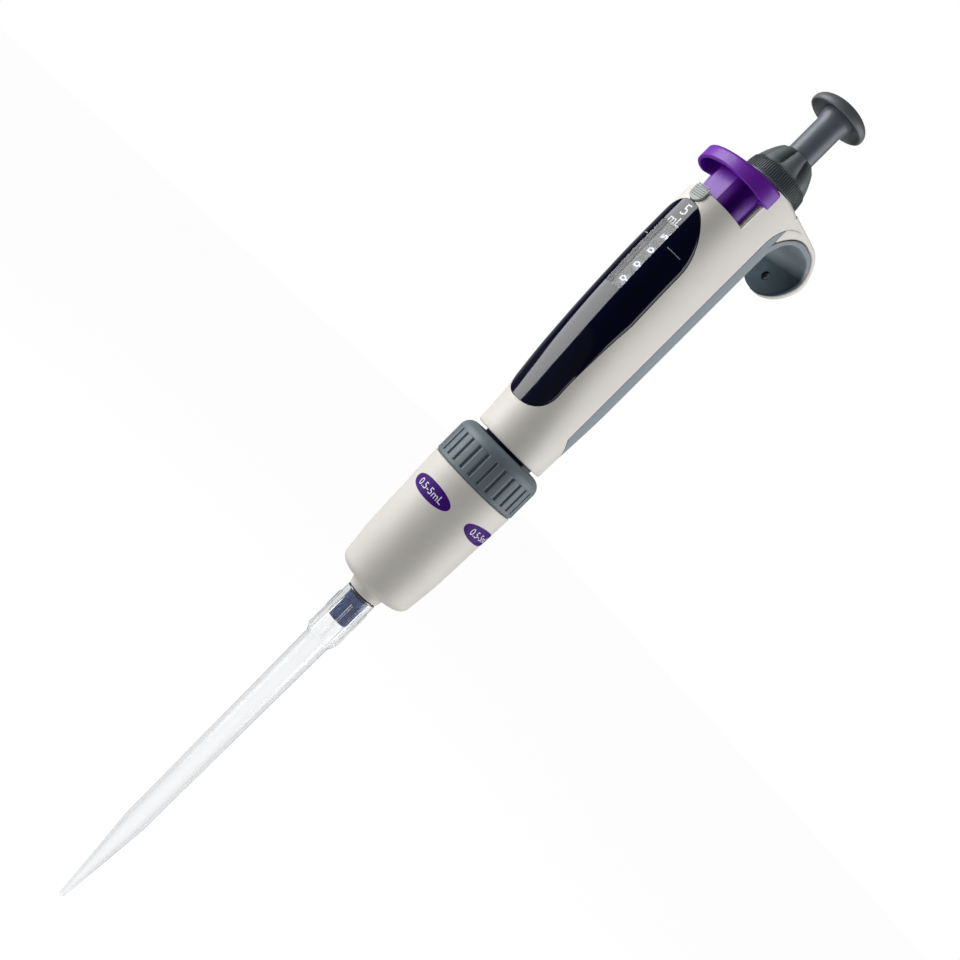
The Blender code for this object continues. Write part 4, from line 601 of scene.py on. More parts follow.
NUT_PROFILE = ((17.55, 205.5), (18.05, 206.0), (18.05, 207.1), (17.45, 207.5), (17.45, 216.9),
               (18.05, 217.5), *bow((13.65, 217.3), (4.4, 4.4), 10, 90, 12), (12.1, 221.7), (12.1, 216.6),
               (16.3, 216.6), (16.3, 205.5))
NUT_R = 18.05
NUT_RIDGES = 28
RIDGE_SHARE = 0.37
RIDGE_BOTTOM = 207.15 * MM
RIDGE_TOP = 217.4 * MM


def make_ring_nut():
    """Ring nut: smooth foot and shoulder, with ridges between its flutes."""
    as_piece("nut_ring", turned(scaled(NUT_PROFILE), 112), NUT_GREY, "ring_nut", ("ring_nut",), "grip_grey")
    half = RIDGE_SHARE * math.tau * NUT_R / NUT_RIDGES
    side = ((-0.9, half), (-0.24, half), (-0.07, half - 0.16), (-0.02, half * 0.6))
    section = scaled([(out, -across) for out, across in side] + list(reversed(side)))
    ridge = upright(section, RIDGE_BOTTOM, RIDGE_TOP)
    ridges = repeat(ridge, RING_OF_RIBS, Count=NUT_RIDGES, Radius=NUT_R * MM, Finish=NUT_GREY)
    as_piece("nut_ridges", ridges, NUT_GREY, "ring_nut", (), "grip_grey", 50.0)


# handle

HANDLE_BOTTOM = 223.1 * MM
HANDLE_TOP = 351.8 * MM
HANDLE_BOTTOM_R = 14.75 * MM
HALF_WIDTH = 14.7 * MM
REAR = 15.0 * MM
SQUARENESS = 2.5
ROUND_UP_TO = 258.0 * MM
SHOULDER = 1.8 * MM
FOOT_EDGE = 0.6 * MM
GRIP_THICKNESS = 1.2 * MM
WALL = 2.7 * MM
LEDGE = 331.8 * MM
TOWER_FRONT = 10.6 * MM
FRONT_STATIONS = ((215.0, 14.6), (223.1, 14.75), (235.0, 15.6), (247.0, 17.0), (261.0, 19.1), (275.0, 20.8),
                  (289.0, 22.0), (304.0, 22.8), (333.0, 23.0), (353.1, 22.6), (362.0, 22.0))


def smoothstep(value, low, high):
    """A soft ramp from 0 to 1."""
    share = min(max((value - low) / (high - low), 0.0), 1.0)
    return share * share * (3 - 2 * share)


def front_reach(height):
    """How far the front stands out, on a smooth curve through the stations."""
    stations = [(z * MM, y * MM) for z, y in FRONT_STATIONS]
    for i in range(1, len(stations) - 2):
        (z0, y0), (z1, y1) = stations[i], stations[i + 1]
        if height <= z1 or i == len(stations) - 3:
            before, after = stations[i - 1], stations[i + 2]
            run = z1 - z0
            slope0 = (y1 - before[1]) / (z1 - before[0])
            slope1 = (after[1] - y0) / (after[0] - z0)
            t = min(max((height - z0) / run, 0.0), 1.0)
            return ((2 * t ** 3 - 3 * t ** 2 + 1) * y0 + (t ** 3 - 2 * t ** 2 + t) * run * slope0
                    + (3 * t ** 2 - 2 * t ** 3) * y1 + (t ** 3 - t ** 2) * run * slope1)
    return stations[-2][1]


def handle_section(height, inset, steps):
    """The handle's cross-section: a circle at the foot that turns into a rounded oblong."""
    share = smoothstep(height, HANDLE_BOTTOM, ROUND_UP_TO)
    power = 2 / (2 + (SQUARENESS - 2) * share)
    width = HANDLE_BOTTOM_R + (HALF_WIDTH - HANDLE_BOTTOM_R) * share - inset
    rear = HANDLE_BOTTOM_R + (REAR - HANDLE_BOTTOM_R) * share - inset
    front = front_reach(height) - inset
    points = []
    for i in range(steps):
        angle = math.tau * i / steps
        c, s = math.cos(angle), math.sin(angle)
        points.append((width * rounded(c, power), (rear if s > 0 else front) * rounded(s, power), height))
    return points


def handle_form(inset, bottom, top, edge=0.0, shoulder=0.0, steps=ROUND, rise=3.0 * MM):
    """The handle's outer form, or a copy moved inwards, between two heights."""
    count = max(int((top - shoulder - bottom - edge) / rise), 1)
    sections = []
    for k in (0, 1, 2) if edge else ():
        angle = math.radians(30 * k)
        section = handle_section(bottom, inset + edge * (1 - math.sin(angle)), steps)
        sections.append([(x, y, bottom + edge * (1 - math.cos(angle))) for x, y, _ in section])
    low, high = bottom + edge, top - shoulder
    sections += [handle_section(low + (high - low) * k / count, inset, steps) for k in range(count + 1)]
    for k in (1, 2, 3, 4, 5, 6) if shoulder else ():
        angle = math.radians(15 * k)
        section = handle_section(high, inset + shoulder * (1 - math.cos(angle)), steps)
        sections.append([(x, y, high + shoulder * math.sin(angle)) for x, y, _ in section])
    return skin(sections)


def core(inset):
    """The handle's form moved inwards, longer than the handle at both ends."""
    return handle_form(inset, HANDLE_BOTTOM - REACH, HANDLE_TOP + REACH)


# finger hook

HOOK_HALF_WIDTH = 14.0 * MM
ARCH_Z = 336.0 * MM
REST_Z = 347.0 * MM
REST_FROM = 21.5 * MM
REST_TO = 25.2 * MM
LIP_Y = 33.0 * MM
LIP_Z = 337.0 * MM
END_Y = 34.0 * MM
END_Z = 329.0 * MM
LINING = 2.4 * MM
LINING_END = 1.4 * MM
SHELL = 2.05 * MM
SHELL_LIP = 2.85 * MM
SHELL_END = 2.2 * MM
ARCH_SHELL = 6.0 * MM
HOOK_STEPS = 18
LIP_STEPS = 12
GRIP_FRONT = 2.8 * MM
GRIP_POINT_Z = 229.0 * MM
GRIP_SLANT = 11.0 * MM
LIP_MIN_WIDTH = 2.2 * MM
LINING_EDGE = 0.7 * MM
SHELL_EDGE = 1.1 * MM
SCREW_Z = 336.0 * MM
SCREW_HOLE_R = 1.8 * MM
SCREW_HOLE_DEPTH = 1.3 * MM
BLEND = 0.15 * MM
SEAM = 0.12 * MM
HOOK_FILL = ((4.0, 342.0), (4.0, 350.2), (16.0, 350.2), (16.0, 349.1), (13.1, 347.2), (10.3, 344.5),
             (8.5, 342.0))


def hook_path():
    """Points up the handle's rear, round the arch, along the rest and down the lip."""
    path = bow((REST_FROM, ARCH_Z), (REST_FROM - REAR - BLEND, REST_Z - ARCH_Z), 180, 90, HOOK_STEPS)
    path += bow((REST_TO, LIP_Z), (LIP_Y - REST_TO, REST_Z - LIP_Z), 90, 0, HOOK_STEPS)
    straight = math.hypot(END_Y - LIP_Y, LIP_Z - END_Z)
    for i in range(1, LIP_STEPS + 1):
        share = math.sin(math.pi / 2 * i / LIP_STEPS)
        path.append((LIP_Y + (END_Y - LIP_Y) * share, LIP_Z - straight * share))
    return path


HOOK_PATH = hook_path()
CROWN = HOOK_STEPS
ARCH_FROM = 3


def soft_ring(half_width, low, high, soft):
    """A band's cross-section with rounded edges, divided so that it can follow a curve."""
    points = []
    corners = ((-1, low, 270, 180), (-1, high, 180, 90), (1, high, 90, 0), (1, low, 0, -90))
    for side, level, start, end in corners:
        centre = (side * (half_width - soft), level + soft if level == low else level - soft)
        points += bow(centre, (soft, soft), start, end, 5)
        if (side, level) in ((-1, high), (1, low)):
            span = -side * (half_width - soft)
            points += [(-span * (1 - k / 8), level) for k in range(1, 16)]
    return points


def hug(i, x):
    """How far the foot of the arch curls forwards to follow the handle's rounded rear."""
    share = max(1.0 - i / CROWN, 0.0)
    return share * REAR * (1.0 - (1.0 - min(abs(x) / HALF_WIDTH, 1.0) ** SQUARENESS) ** (1 / SQUARENESS))


def hook_band(path, inner, outer, half_width, edge, first=0):
    """A band along a path: inner and outer give its two faces as distances from the path."""
    sections = []
    end_z = path[-1][1]
    for i, (y, z) in enumerate(path):
        before = path[max(i - 1, 0)]
        after = path[min(i + 1, len(path) - 1)]
        along = Vector((after[0] - before[0], after[1] - before[1])).normalized()
        away = Vector((-along.y, along.x))
        to_end = z - end_z
        width = half_width
        if y > REST_TO and to_end < half_width:
            width = max(math.sqrt(max(half_width ** 2 - (half_width - to_end) ** 2, 0.0)), LIP_MIN_WIDTH)
        low, high = inner(i), outer(i)
        soft = min(edge, 0.35 * (high - low))
        sections.append([(x, y + away.x * n - hug(i + first, x), z + away.y * n)
                         for x, n in soft_ring(width, low, high, soft)])
    return skin(sections)


def lining_outer(i):
    """The lining thickens from the grip to the crown and thins again towards the lip."""
    start = GRIP_THICKNESS - BLEND
    if i < CROWN:
        return start + (LINING - start) * i / CROWN
    return LINING + (LINING_END - LINING) * (i - CROWN) / (len(HOOK_PATH) - CROWN)


def grip_outline(grow):
    """Side view of the grip: pointed foot, straight front edge and an arch under the hook."""
    front = GRIP_FRONT - grow
    rear = REAR + 2 * REACH
    top = REST_Z + LINING + grow
    points = [(rear, GRIP_POINT_Z - grow), (REAR - REACH, GRIP_POINT_Z - grow)]
    points.append((front, GRIP_POINT_Z + GRIP_SLANT - grow))
    return points + bow((rear, ARCH_Z), (rear - front, top - ARCH_Z), 180, 90, 24)


def screw_hole():
    """A round hole into the lip from the finger side."""
    share = (LIP_Z - SCREW_Z) / (LIP_Z - END_Z)
    bm = rod(SCREW_HOLE_R, -REACH, SCREW_HOLE_DEPTH, SMALL)
    bmesh.ops.rotate(bm, verts=bm.verts, cent=(0, 0, 0), matrix=Matrix.Rotation(-math.pi / 2, 3, "X"))
    shift(bm, (0.0, LIP_Y + (END_Y - LIP_Y) * share, SCREW_Z))
    return bm


def make_grip():
    """Soft grip on the rear of the handle, in one piece with the lining of the hook."""
    grip = handle_form(0.0, HANDLE_BOTTOM + FOOT_EDGE, HANDLE_TOP)
    grip = carve(grip, sideways(grip_outline(0.0), 2 * HALF_WIDTH), operation="INTERSECT")
    lining = hook_band(HOOK_PATH, lambda i: 0.0, lining_outer, HOOK_HALF_WIDTH, LINING_EDGE)
    grip = carve(carve(grip, core(GRIP_THICKNESS)), lining, operation="UNION")
    grip = carve(grip, screw_hole())
    as_piece("soft_grip", grip, GRIP_GREY_PAINTED_SHADE, "handle", ("grip_insert",), "grip_grey", 40.0)


# window

# height of the middle, half height, roundness, first angle and how much narrower it ends
LENS_ENDS = ((305.0, 21.6, 2.2, 0, 0.0), (250.0, 12.2, 2.6, 180, 1.6 * MM))
LENS_HALF_WIDTH = 12.4 * MM
LENS_WAIST_Z = 282.0 * MM
LENS_STEPS = 40
LENS_THICKNESS = 1.5 * MM
LENS_PROUD = 0.15 * MM
LENS_REAR = -2.4 * MM
FAR_FRONT = -54.0 * MM
PANE_GAP = 0.03 * MM
SLOT_HALF_WIDTH = 4.1 * MM
SLOT_BOTTOM = 287.8 * MM
SLOT_TOP = 316.8 * MM
SLOT_CORNER = 1.0 * MM


def lens_outline(grow):
    """The window seen from the front: it narrows to a blunt foot and has a rounder head."""
    points = []
    for level, height, power, start, taper in LENS_ENDS:
        half = LENS_HALF_WIDTH + grow - taper
        for i in range(LENS_STEPS + 1):
            angle = math.radians(start + 180 * i / LENS_STEPS)
            c, s = math.cos(angle), math.sin(angle)
            if i in (0, LENS_STEPS):
                s = 0.0
            points.append((half * rounded(c, 2 / power),
                           level * MM + (height * MM + grow) * rounded(s, 2 / power)))
        points.append((math.copysign(LENS_HALF_WIDTH + grow, start - 1), LENS_WAIST_Z))
    return points


def slot_outline(grow):
    """The clear slot over the numbers."""
    half = SLOT_HALF_WIDTH + grow
    corner = SLOT_CORNER + grow
    points = []
    for x, z, start in ((1, SLOT_TOP, 0), (-1, SLOT_TOP, 90), (-1, SLOT_BOTTOM, 180), (1, SLOT_BOTTOM, 270)):
        inwards = -1 if z == SLOT_TOP else 1
        centre = (x * (half - corner), z - inwards * grow + inwards * corner)
        points += bow(centre, (corner, corner), start, start + 90, 6)
    return points


def through_front(outline, rear=LENS_REAR):
    """An outline seen from the front, drawn through the handle's front half."""
    return forwards(outline, rear, FAR_FRONT)


def window_sheet(outline, *holes):
    """The part of a thin sheet on the handle's front that lies within an outline."""
    sheet = handle_form(-LENS_PROUD, HANDLE_BOTTOM + FOOT_EDGE, HANDLE_TOP, steps=144, rise=2.0 * MM)
    sheet = carve(sheet, through_front(outline), operation="INTERSECT")
    return carve(sheet, core(LENS_THICKNESS), *holes)


def make_lens():
    """Dark gloss window with a clear slot over the numbers."""
    lens = window_sheet(lens_outline(0.0), through_front(slot_outline(0.0)))
    as_piece("window_surround", lens, LENS_NAVY, "handle", ("window_lens",), "lens_navy", 40.0)
    pane = window_sheet(slot_outline(-PANE_GAP))
    as_piece("window_pane", pane, WINDOW_CLEAR, "handle", (), "lens_navy", 40.0)


# housing

SIDE = 2 * HALF_WIDTH
ABOVE = HANDLE_TOP + REACH
ROOF = 2.4 * MM
FOOT_HOLE = (11.9 * MM, HANDLE_BOTTOM - REACH, HANDLE_BOTTOM + 4 * MM)
TOP_HOLE = (9.1 * MM, LEDGE, ABOVE)
FRONT_CUT = (-SIDE, SIDE, FAR_FRONT, -TOWER_FRONT, LEDGE, ABOVE)
FRONT_FILL = (-SIDE, SIDE, FAR_FRONT, -TOWER_FRONT + 1.5 * MM, LEDGE - ROOF, ABOVE)
BAY = (-4.6 * MM, 4.6 * MM, FAR_FRONT, -13.5 * MM, 288.0 * MM, 316.6 * MM)
STEM_SLOT_GAP = 0.4 * MM
STEM_SLOT_BOTTOM = 308.0 * MM
LOCK_SEAT_Y = -21.4 * MM
LOCK_HALF_WIDTH = 3.3 * MM
LOCK_BOTTOM = 327.0 * MM
TOWER_SLOPE = ((-12.0 * MM, HANDLE_TOP - 2.26 * MM), (REACH, HANDLE_TOP + 0.19 * MM), (REACH, ABOVE),
               (-12.0 * MM, ABOVE))
GUIDE = (-0.2 * MM, 0.2 * MM, -TOWER_FRONT - 0.35 * MM, -TOWER_FRONT + BLEND, LEDGE - BLEND,
         HANDLE_TOP - 5.0 * MM)
GUIDE_X = 12.6 * MM
GUIDE_STEP = 0.75 * MM


def lock_outline(grow, top):
    """The lock slide seen from the front: square head and round foot."""
    half = LOCK_HALF_WIDTH + grow
    return bow((0.0, LOCK_BOTTOM + LOCK_HALF_WIDTH), (half, half), 180, 360, 24) + [(half, top), (-half, top)]


def t_outline(grow):
    """The ejector stem's T, seen from above."""
    block_half = 4.6 * MM + grow
    wing_half = 12.0 * MM + grow
    front = -20.0 * MM - grow
    middle = -12.8 * MM - grow
    rear = -11.1 * MM + grow
    right = [(block_half, front), (block_half, middle), (wing_half, middle), (wing_half, rear)]
    return [(-block_half, front)] + right + [(-x, y) for x, y in reversed(right[1:])]


def hook_shell():
    """The hard outside of the hook: its slab over rest and lip, its arch and the fill between them."""
    path = [(6.0 * MM, REST_Z)] + HOOK_PATH[CROWN:]
    steps = len(path) - 1

    def slab_inner(i):
        return lining_outer(max(i - 1, 0) + CROWN) + GAP

    def slab_outer(i):
        share = i / steps
        swell = (SHELL_LIP - SHELL) * smoothstep(share, 0.25, 0.55)
        return slab_inner(i) + SHELL + swell - 2 * (SHELL_LIP - SHELL_END) * max(share - 0.5, 0.0)

    def arch_inner(i):
        return lining_outer(i + ARCH_FROM) + GAP

    def arch_outer(i):
        return arch_inner(i) + ARCH_SHELL - (ARCH_SHELL - SHELL) * i / (CROWN - ARCH_FROM)

    arch = HOOK_PATH[ARCH_FROM:CROWN + 1]
    return (hook_band(path, slab_inner, slab_outer, HOOK_HALF_WIDTH, SHELL_EDGE, CROWN),
            hook_band(arch, arch_inner, arch_outer, HOOK_HALF_WIDTH, SHELL_EDGE, ARCH_FROM),
            sideways(scaled(HOOK_FILL), HOOK_HALF_WIDTH - GAP))


def make_housing():
    """Moulded handle housing with its hook, ledge, tower, seats and openings."""
    housing = handle_form(0.0, HANDLE_BOTTOM, HANDLE_TOP, FOOT_EDGE, SHOULDER, steps=128, rise=2.5 * MM)
    housing = carve(housing, *hook_shell(), operation="UNION")
    grip_seat = carve(sideways(grip_outline(GAP), SIDE), core(GRIP_THICKNESS + GAP))
    near = handle_form(-SEAM, HANDLE_BOTTOM - 2 * REACH, HANDLE_TOP + 2 * REACH)
    grip_seat = carve(grip_seat, near, operation="INTERSECT")
    hollow = handle_form(WALL, HANDLE_BOTTOM + 3.0 * MM, HANDLE_TOP - ROOF, steps=32, rise=12.0 * MM)
    hollow = carve(carve(hollow, box_shape(*FRONT_FILL)), rod(*FOOT_HOLE), operation="UNION")
    lens_seat = carve(through_front(lens_outline(GAP)), core(LENS_THICKNESS + GAP))
    housing = carve(
        housing, grip_seat, hollow, box_shape(*FRONT_CUT),
        upright(t_outline(STEM_SLOT_GAP), STEM_SLOT_BOTTOM, LEDGE + REACH), lens_seat, box_shape(*BAY),
        through_front(lock_outline(GAP, LEDGE + REACH), LOCK_SEAT_Y), rod(*TOP_HOLE),
        sideways(TOWER_SLOPE, SIDE))
    as_piece("handle_shell", housing, BODY_WHITE, "handle", ("handle_housing",), "body_white", 32.0)
    for side, name in ((1, "right"), (-1, "left")):
        guides = repeat(box_shape(*GUIDE), ROW_OF_RIBS, Count=3, Start=(side * GUIDE_X, 0.0, 0.0),
                        Step=(side * GUIDE_STEP, 0.0, 0.0), Finish=BODY_WHITE)
        as_piece("tower_guides_" + name, guides, BODY_WHITE, "handle", (), "body_white")


# ejector button

PAD_TOP = 348.6 * MM
PAD_SLOPE = 0.07
PAD_HALF_WIDTH = 17.8 * MM
PAD_WING_DROP = 2.2 * MM
PAD_SKIRT = 5.0 * MM
PAD_EDGE = 1.3 * MM
PAD_WALL = 1.3 * MM
PAD_ROOF = 1.8 * MM
PAD_FRONT = 27.0 * MM
PAD_CORNER = 2.2 * MM
PAD_GAP = 0.5 * MM
FOOT_ROUND = 0.35 * MM
T_BOTTOM = 324.5 * MM
PAD_UNDER = PAD_TOP - PAD_SKIRT
PAD_RIB = (-0.6 * MM, 0.6 * MM, -PAD_FRONT + PAD_WALL / 2, -19.0 * MM, PAD_UNDER + 2.6 * MM,
           PAD_TOP - PAD_ROOF + REACH / 2)
PAD_BORE = (3.05 * MM, 323.5 * MM, 337.1 * MM, SMALL, (0.0, -16.0 * MM))


def pad_outline(inset):
    """Thumb pad seen from above: broad rounded front, short wings and a straight rear along the tower."""
    level = -TOWER_FRONT - PAD_GAP - PAD_CORNER
    nose = bow((0.0, level), (PAD_HALF_WIDTH - inset, PAD_FRONT + level - inset), 270, 360, 28)
    soft = PAD_CORNER - inset
    right = nose + bow((PAD_HALF_WIDTH - PAD_CORNER, level), (soft, soft), 0, 90, 6)[1:]
    return right + [(-x, y) for x, y in reversed(right[1:])]


def sloped(bm):
    """Tilt a pad shape so that it falls towards the front."""
    for vert in bm.verts:
        vert.co.z += PAD_SLOPE * (vert.co.y + TOWER_FRONT)
    return bm


def make_ejector():
    """Thumb pad with its skirt and rib on the T-shaped stem, and the fork below."""
    rings = [(FOOT_ROUND, PAD_UNDER), (0.0, PAD_UNDER + FOOT_ROUND), (0.0, PAD_UNDER + REACH)]
    rings += bow((PAD_EDGE, PAD_TOP - PAD_EDGE), (PAD_EDGE, PAD_EDGE), 180, 90, 6)
    sections = []
    for inset, z in rings:
        drop = PAD_WING_DROP if z < PAD_UNDER + REACH / 2 else 0.0
        sections.append([(x, y, z - drop * (x / PAD_HALF_WIDTH) ** 2) for x, y in pad_outline(inset)])
    pocket = sloped(upright(pad_outline(PAD_WALL), PAD_UNDER - PAD_WING_DROP - REACH, PAD_TOP - PAD_ROOF))
    pad = carve(sloped(skin(sections)), pocket)
    roof = PAD_TOP - PAD_ROOF + REACH
    above = sloped(box_shape(-PAD_FRONT, PAD_FRONT, -PAD_FRONT, 0.0, roof - REACH / 2, roof + PAD_FRONT))
    stem = carve(upright(t_outline(0.0), T_BOTTOM, roof + PAD_SKIRT), above)
    pad = carve(pad, stem, sloped(box_shape(*PAD_RIB)), operation="UNION")
    pad = carve(pad, rod(*PAD_BORE))
    as_piece("thumb_pad", pad, PURPLE, "ejector", ("ejector_button",), "ejector_purple", 40.0)
    polished("ejector_fork", INNER_GREY, "ejector", "inner_plastic")


# lock slide

LOCK_TOP = 332.6 * MM
LOCK_REAR = -21.7 * MM
LOCK_FRONT = -23.9 * MM
LOCK_RIBS = 6
LOCK_RIB = ((-23.8, -0.28), (-24.2, -0.112), (-24.2, 0.112), (-23.8, 0.28))
LOCK_RIB_HALF = 2.7 * MM
LOCK_RIB_START = (0.0, 0.0, 329.0 * MM)
LOCK_RIB_STEP = (0.0, 0.0, 0.82 * MM)


def make_lock():
    """Light grey slide with fine ribs across its face."""
    slide = forwards(lock_outline(0.0, LOCK_TOP), LOCK_REAR, LOCK_FRONT)
    as_piece("lock_plate", slide, LOCK_GREY, "lock", ("lock_slide",), "lock_grey")
    ribs = repeat(sideways(scaled(LOCK_RIB), LOCK_RIB_HALF), ROW_OF_RIBS, Count=LOCK_RIBS,
                  Start=LOCK_RIB_START, Step=LOCK_RIB_STEP, Finish=LOCK_GREY)
    as_piece("lock_ribs", ribs, LOCK_GREY, "lock", (), "lock_grey")


# push button, stem and knob

BUTTON_PROFILE = ((0.0, 388.4), (6.6, 388.4), (6.6, 388.1), (7.2, 387.8), (9.3, 387.7), (10.3, 387.0),
                  (10.7, 386.35), (10.9, 386.2), (11.3, 386.2), (11.6, 386.4), (11.75, 386.9),
                  *bow((3.6, 387.5), (8.15, 4.5), 0, 90, 20), (0.0, 392.0))
STEM_PROFILE = ((2.3, 336.0), (5.4, 336.0), (5.4, 382.8), (5.55, 383.8), (5.9, 385.0), (6.25, 386.2),
                (6.3, 388.1), (0.0, 388.1), (0.0, 362.3), (2.3, 362.3))
KNOB_BOTTOM = HANDLE_TOP + GAP
KNOB_HEIGHT = 15.8 * MM
KNOB_TOP_SHARE = 0.98
KNOB_R = 12.0 * MM
KNOB_HOLE = ((0.0, 351.1), (7.3, 351.1), (7.3, 359.7), (5.75, 359.7), (5.75, 368.9), (0.0, 368.9))
KNOB_PETALS = 8
PETAL_STEPS = 20
PETAL_DEPTH = 1.75 * MM
PETAL_POWER = 1.3
PETAL_FROM = 4.4 * MM
PETAL_TO = 9.2 * MM
KNOB_LEVELS = 40
KNOB_RIBS = 84
RIB_HALF_WIDTH = 0.17 * MM
RIB_PROUD = 0.36 * MM
RIB_SUNK = 0.3 * MM
KNOB_SHAPE = ((0.0, 1.0), (0.06, 1.0), (0.24, 0.98), (0.36, 0.95), (0.48, 0.91), (0.60, 0.855),
              (0.72, 0.785), (0.84, 0.705), (0.93, 0.63), (0.98, 0.56))


def make_plunger_top():
    """Domed push button with its lipped hollow, and the stem below it."""
    button = turned(scaled(BUTTON_PROFILE))
    as_piece("button_cap", button, BUTTON_GREY, "plunger", ("push_button",), "knob_grey", 50.0)
    as_piece("stem_tube", turned(scaled(STEM_PROFILE)), STEM_GREY, "plunger", ("plunger_stem",), "knob_grey")


def knob_size(share):
    """The knob's radius as a share of its foot's, between the points of its shape."""
    for (s0, r0), (s1, r1) in zip(KNOB_SHAPE, KNOB_SHAPE[1:]):
        if share <= s1:
            return r0 + (r1 - r0) * (share - s0) / (s1 - s0)
    return KNOB_SHAPE[-1][1]


def make_knob():
    """Volume knob: eight long petals over a finely ribbed foot."""
    count = KNOB_PETALS * PETAL_STEPS
    sections = []
    for k in range(KNOB_LEVELS + 1):
        share = KNOB_TOP_SHARE * k / KNOB_LEVELS
        height = share * KNOB_HEIGHT
        fade = smoothstep(height, PETAL_FROM, PETAL_TO) * (1 - 0.5 * smoothstep(share, 0.85, 1.0))
        section = []
        for i in range(count):
            angle = math.tau * i / count
            valley = (1 - abs(math.cos(angle * KNOB_PETALS / 2))) ** PETAL_POWER
            radius = KNOB_R * knob_size(share) - PETAL_DEPTH * fade * valley
            section.append((radius * math.cos(angle), radius * math.sin(angle), KNOB_BOTTOM + height))
        sections.append(section)
    knob = carve(skin(sections), turned(scaled(KNOB_HOLE)))
    as_piece("knob_body", knob, KNOB_GREY, "volume_drive", ("volume_knob",), "knob_grey", 50.0)
    wide, narrow = RIB_HALF_WIDTH * 1.4, RIB_HALF_WIDTH * 0.6
    rings = []
    for k in range(7):
        height = (0.5 + k) * MM
        out = KNOB_R * (knob_size(height / KNOB_HEIGHT) - 1.0)
        root = out - RIB_SUNK
        crest = out + (RIB_PROUD if k < 6 else -0.1 * MM)
        rings.append([(x, y, KNOB_BOTTOM + height)
                      for x, y in ((root, -wide), (crest, -narrow), (crest, narrow), (root, wide))])
    ribs = repeat(skin(rings), RING_OF_RIBS, Count=KNOB_RIBS, Radius=KNOB_R, Finish=KNOB_GREY)
    as_piece("knob_foot_ribs", ribs, KNOB_GREY, "volume_drive", (), "knob_grey", 50.0)


# number drums and prints

COUNTER_Y = 13.5 * MM
DRUM_R = 5.5 * MM
DRUM_LEVELS = ((292.3, "zero_ring", "handle", 0), (299.0, "drum_hundredths", "counter_shaft", 0),
               (305.7, "drum_tenths", "tenths", 0), (312.3, "drum_ones", "ones", 5))
DIGIT_HEIGHT = 3.3 * MM
DIGIT_DEPTH = 0.16 * MM
DIGIT_PROUD = 0.02 * MM
DIGIT_STRIP = 0.35 * MM
FIGURE_TURN = math.radians(14)
PRINT_X = 1.2 * MM
PRINT_DEPTH = 0.12 * MM
PRINT_STRIP = 0.5 * MM
WINDOW_WORDS = (("five", "5", 4.6 * MM, 322.9 * MM), ("unit", "mL", 3.4 * MM, 317.9 * MM))
MARK_Z = 309.0 * MM
MARK_HALF_HEIGHT = 0.14 * MM
MARKS = (("right", 6.2 * MM, 10.8 * MM), ("left", -6.9 * MM, -4.6 * MM))


def on_drum(level, turn):
    """The map from a flat figure, which reads upwards, to a drum."""
    def surface(across, up, out):
        radius = DRUM_R + out + DIGIT_PROUD
        angle = turn + up / DRUM_R
        return Vector((radius * math.sin(angle), -COUNTER_Y - radius * math.cos(angle), level * MM - across))

    return surface


def make_numbers():
    """Drums with the ten figures round each; 5.000 mL shows in the window."""
    for level, node, body, first in DRUM_LEVELS:
        polished(node, DRUM_GREY, body, "drum_white")
        for k in range(10):
            figure = (first + k) % 10
            surface = on_drum(level, math.tau * k / 10 - FIGURE_TURN)
            digit = lettering(str(figure), DIGIT_HEIGHT, DIGIT_DEPTH)
            digit = wrap(digit, surface, DIGIT_STRIP, (0.0, 1.0, 0.0))
            as_piece(f"{node}_figure_{figure}", digit, FIGURE_PAINTED_GLOW_WHITE, body, (), None, 60.0)


def on_window(centre_x, centre_z):
    """The map from a flat print to the window's face."""
    def surface(across, up, out):
        x, z = centre_x + across, centre_z + up
        share = min(abs(x) / (HALF_WIDTH + LENS_PROUD), 0.999)
        reach = front_reach(z) + LENS_PROUD
        return Vector((x, -reach * (1 - share ** SQUARENESS) ** (1 / SQUARENESS) - out, z))

    return surface


def make_window_prints():
    """Unit at the head of the window and the marks for the decimal point."""
    for name, words, height, z in WINDOW_WORDS:
        letters = wrap(lettering(words, height, PRINT_DEPTH), on_window(PRINT_X, z), PRINT_STRIP)
        as_piece("window_" + name, letters, PRINT_WHITE, "handle", (), None, 60.0)
    for name, low, high in MARKS:
        mark = box_shape(low, high, -MARK_HALF_HEIGHT, MARK_HALF_HEIGHT, -PRINT_DEPTH / 2, PRINT_DEPTH / 2)
        mark = wrap(mark, on_window(0.0, MARK_Z), PRINT_STRIP)
        as_piece("decimal_mark_" + name, mark, PRINT_GREY, "handle", (), None, 60.0)


# finish, body, slot and nodes
HIDDEN_PARTS = (
    (SCREW_BLACK, "handle", "steel", "hook_screw"), (NECK_NAVY, "handle", "neck_navy", "cylinder_head"),
    (INNER_GREY, "handle", "inner_plastic", "core_tube", "counter_frame", "cylinder"),
    (BRASS, "handle", "brass", "lead_nut", "top_bush"),
    (STEEL, "handle", "steel", "carry_axle", "primary_spring", "blowout_spring", "ejector_spring"),
    (INNER_GREY, "plunger", "inner_plastic", "piston"), (STEEL, "plunger", "steel", "piston_rod"),
    (RUBBER_BLACK, "plunger", "seal_black", "piston_seal"), (BRASS, "plunger", "brass", "rod_collar"),
    (INNER_GREY, "volume_drive", "inner_plastic", "drive_sleeve"),
    (BRASS, "volume_drive", "brass", "lead_screw"), (GEAR_WHITE, "volume_drive", "drum_white", "drive_gear"),
    (STEEL, "counter_shaft", "steel", "counter_axle"),
    (GEAR_WHITE, "counter_shaft", "drum_white", "input_gear"),
    (GEAR_WHITE, "carry_low", "drum_white", "carry_pinion_low"),
    (GEAR_WHITE, "carry_high", "drum_white", "carry_pinion_high"))


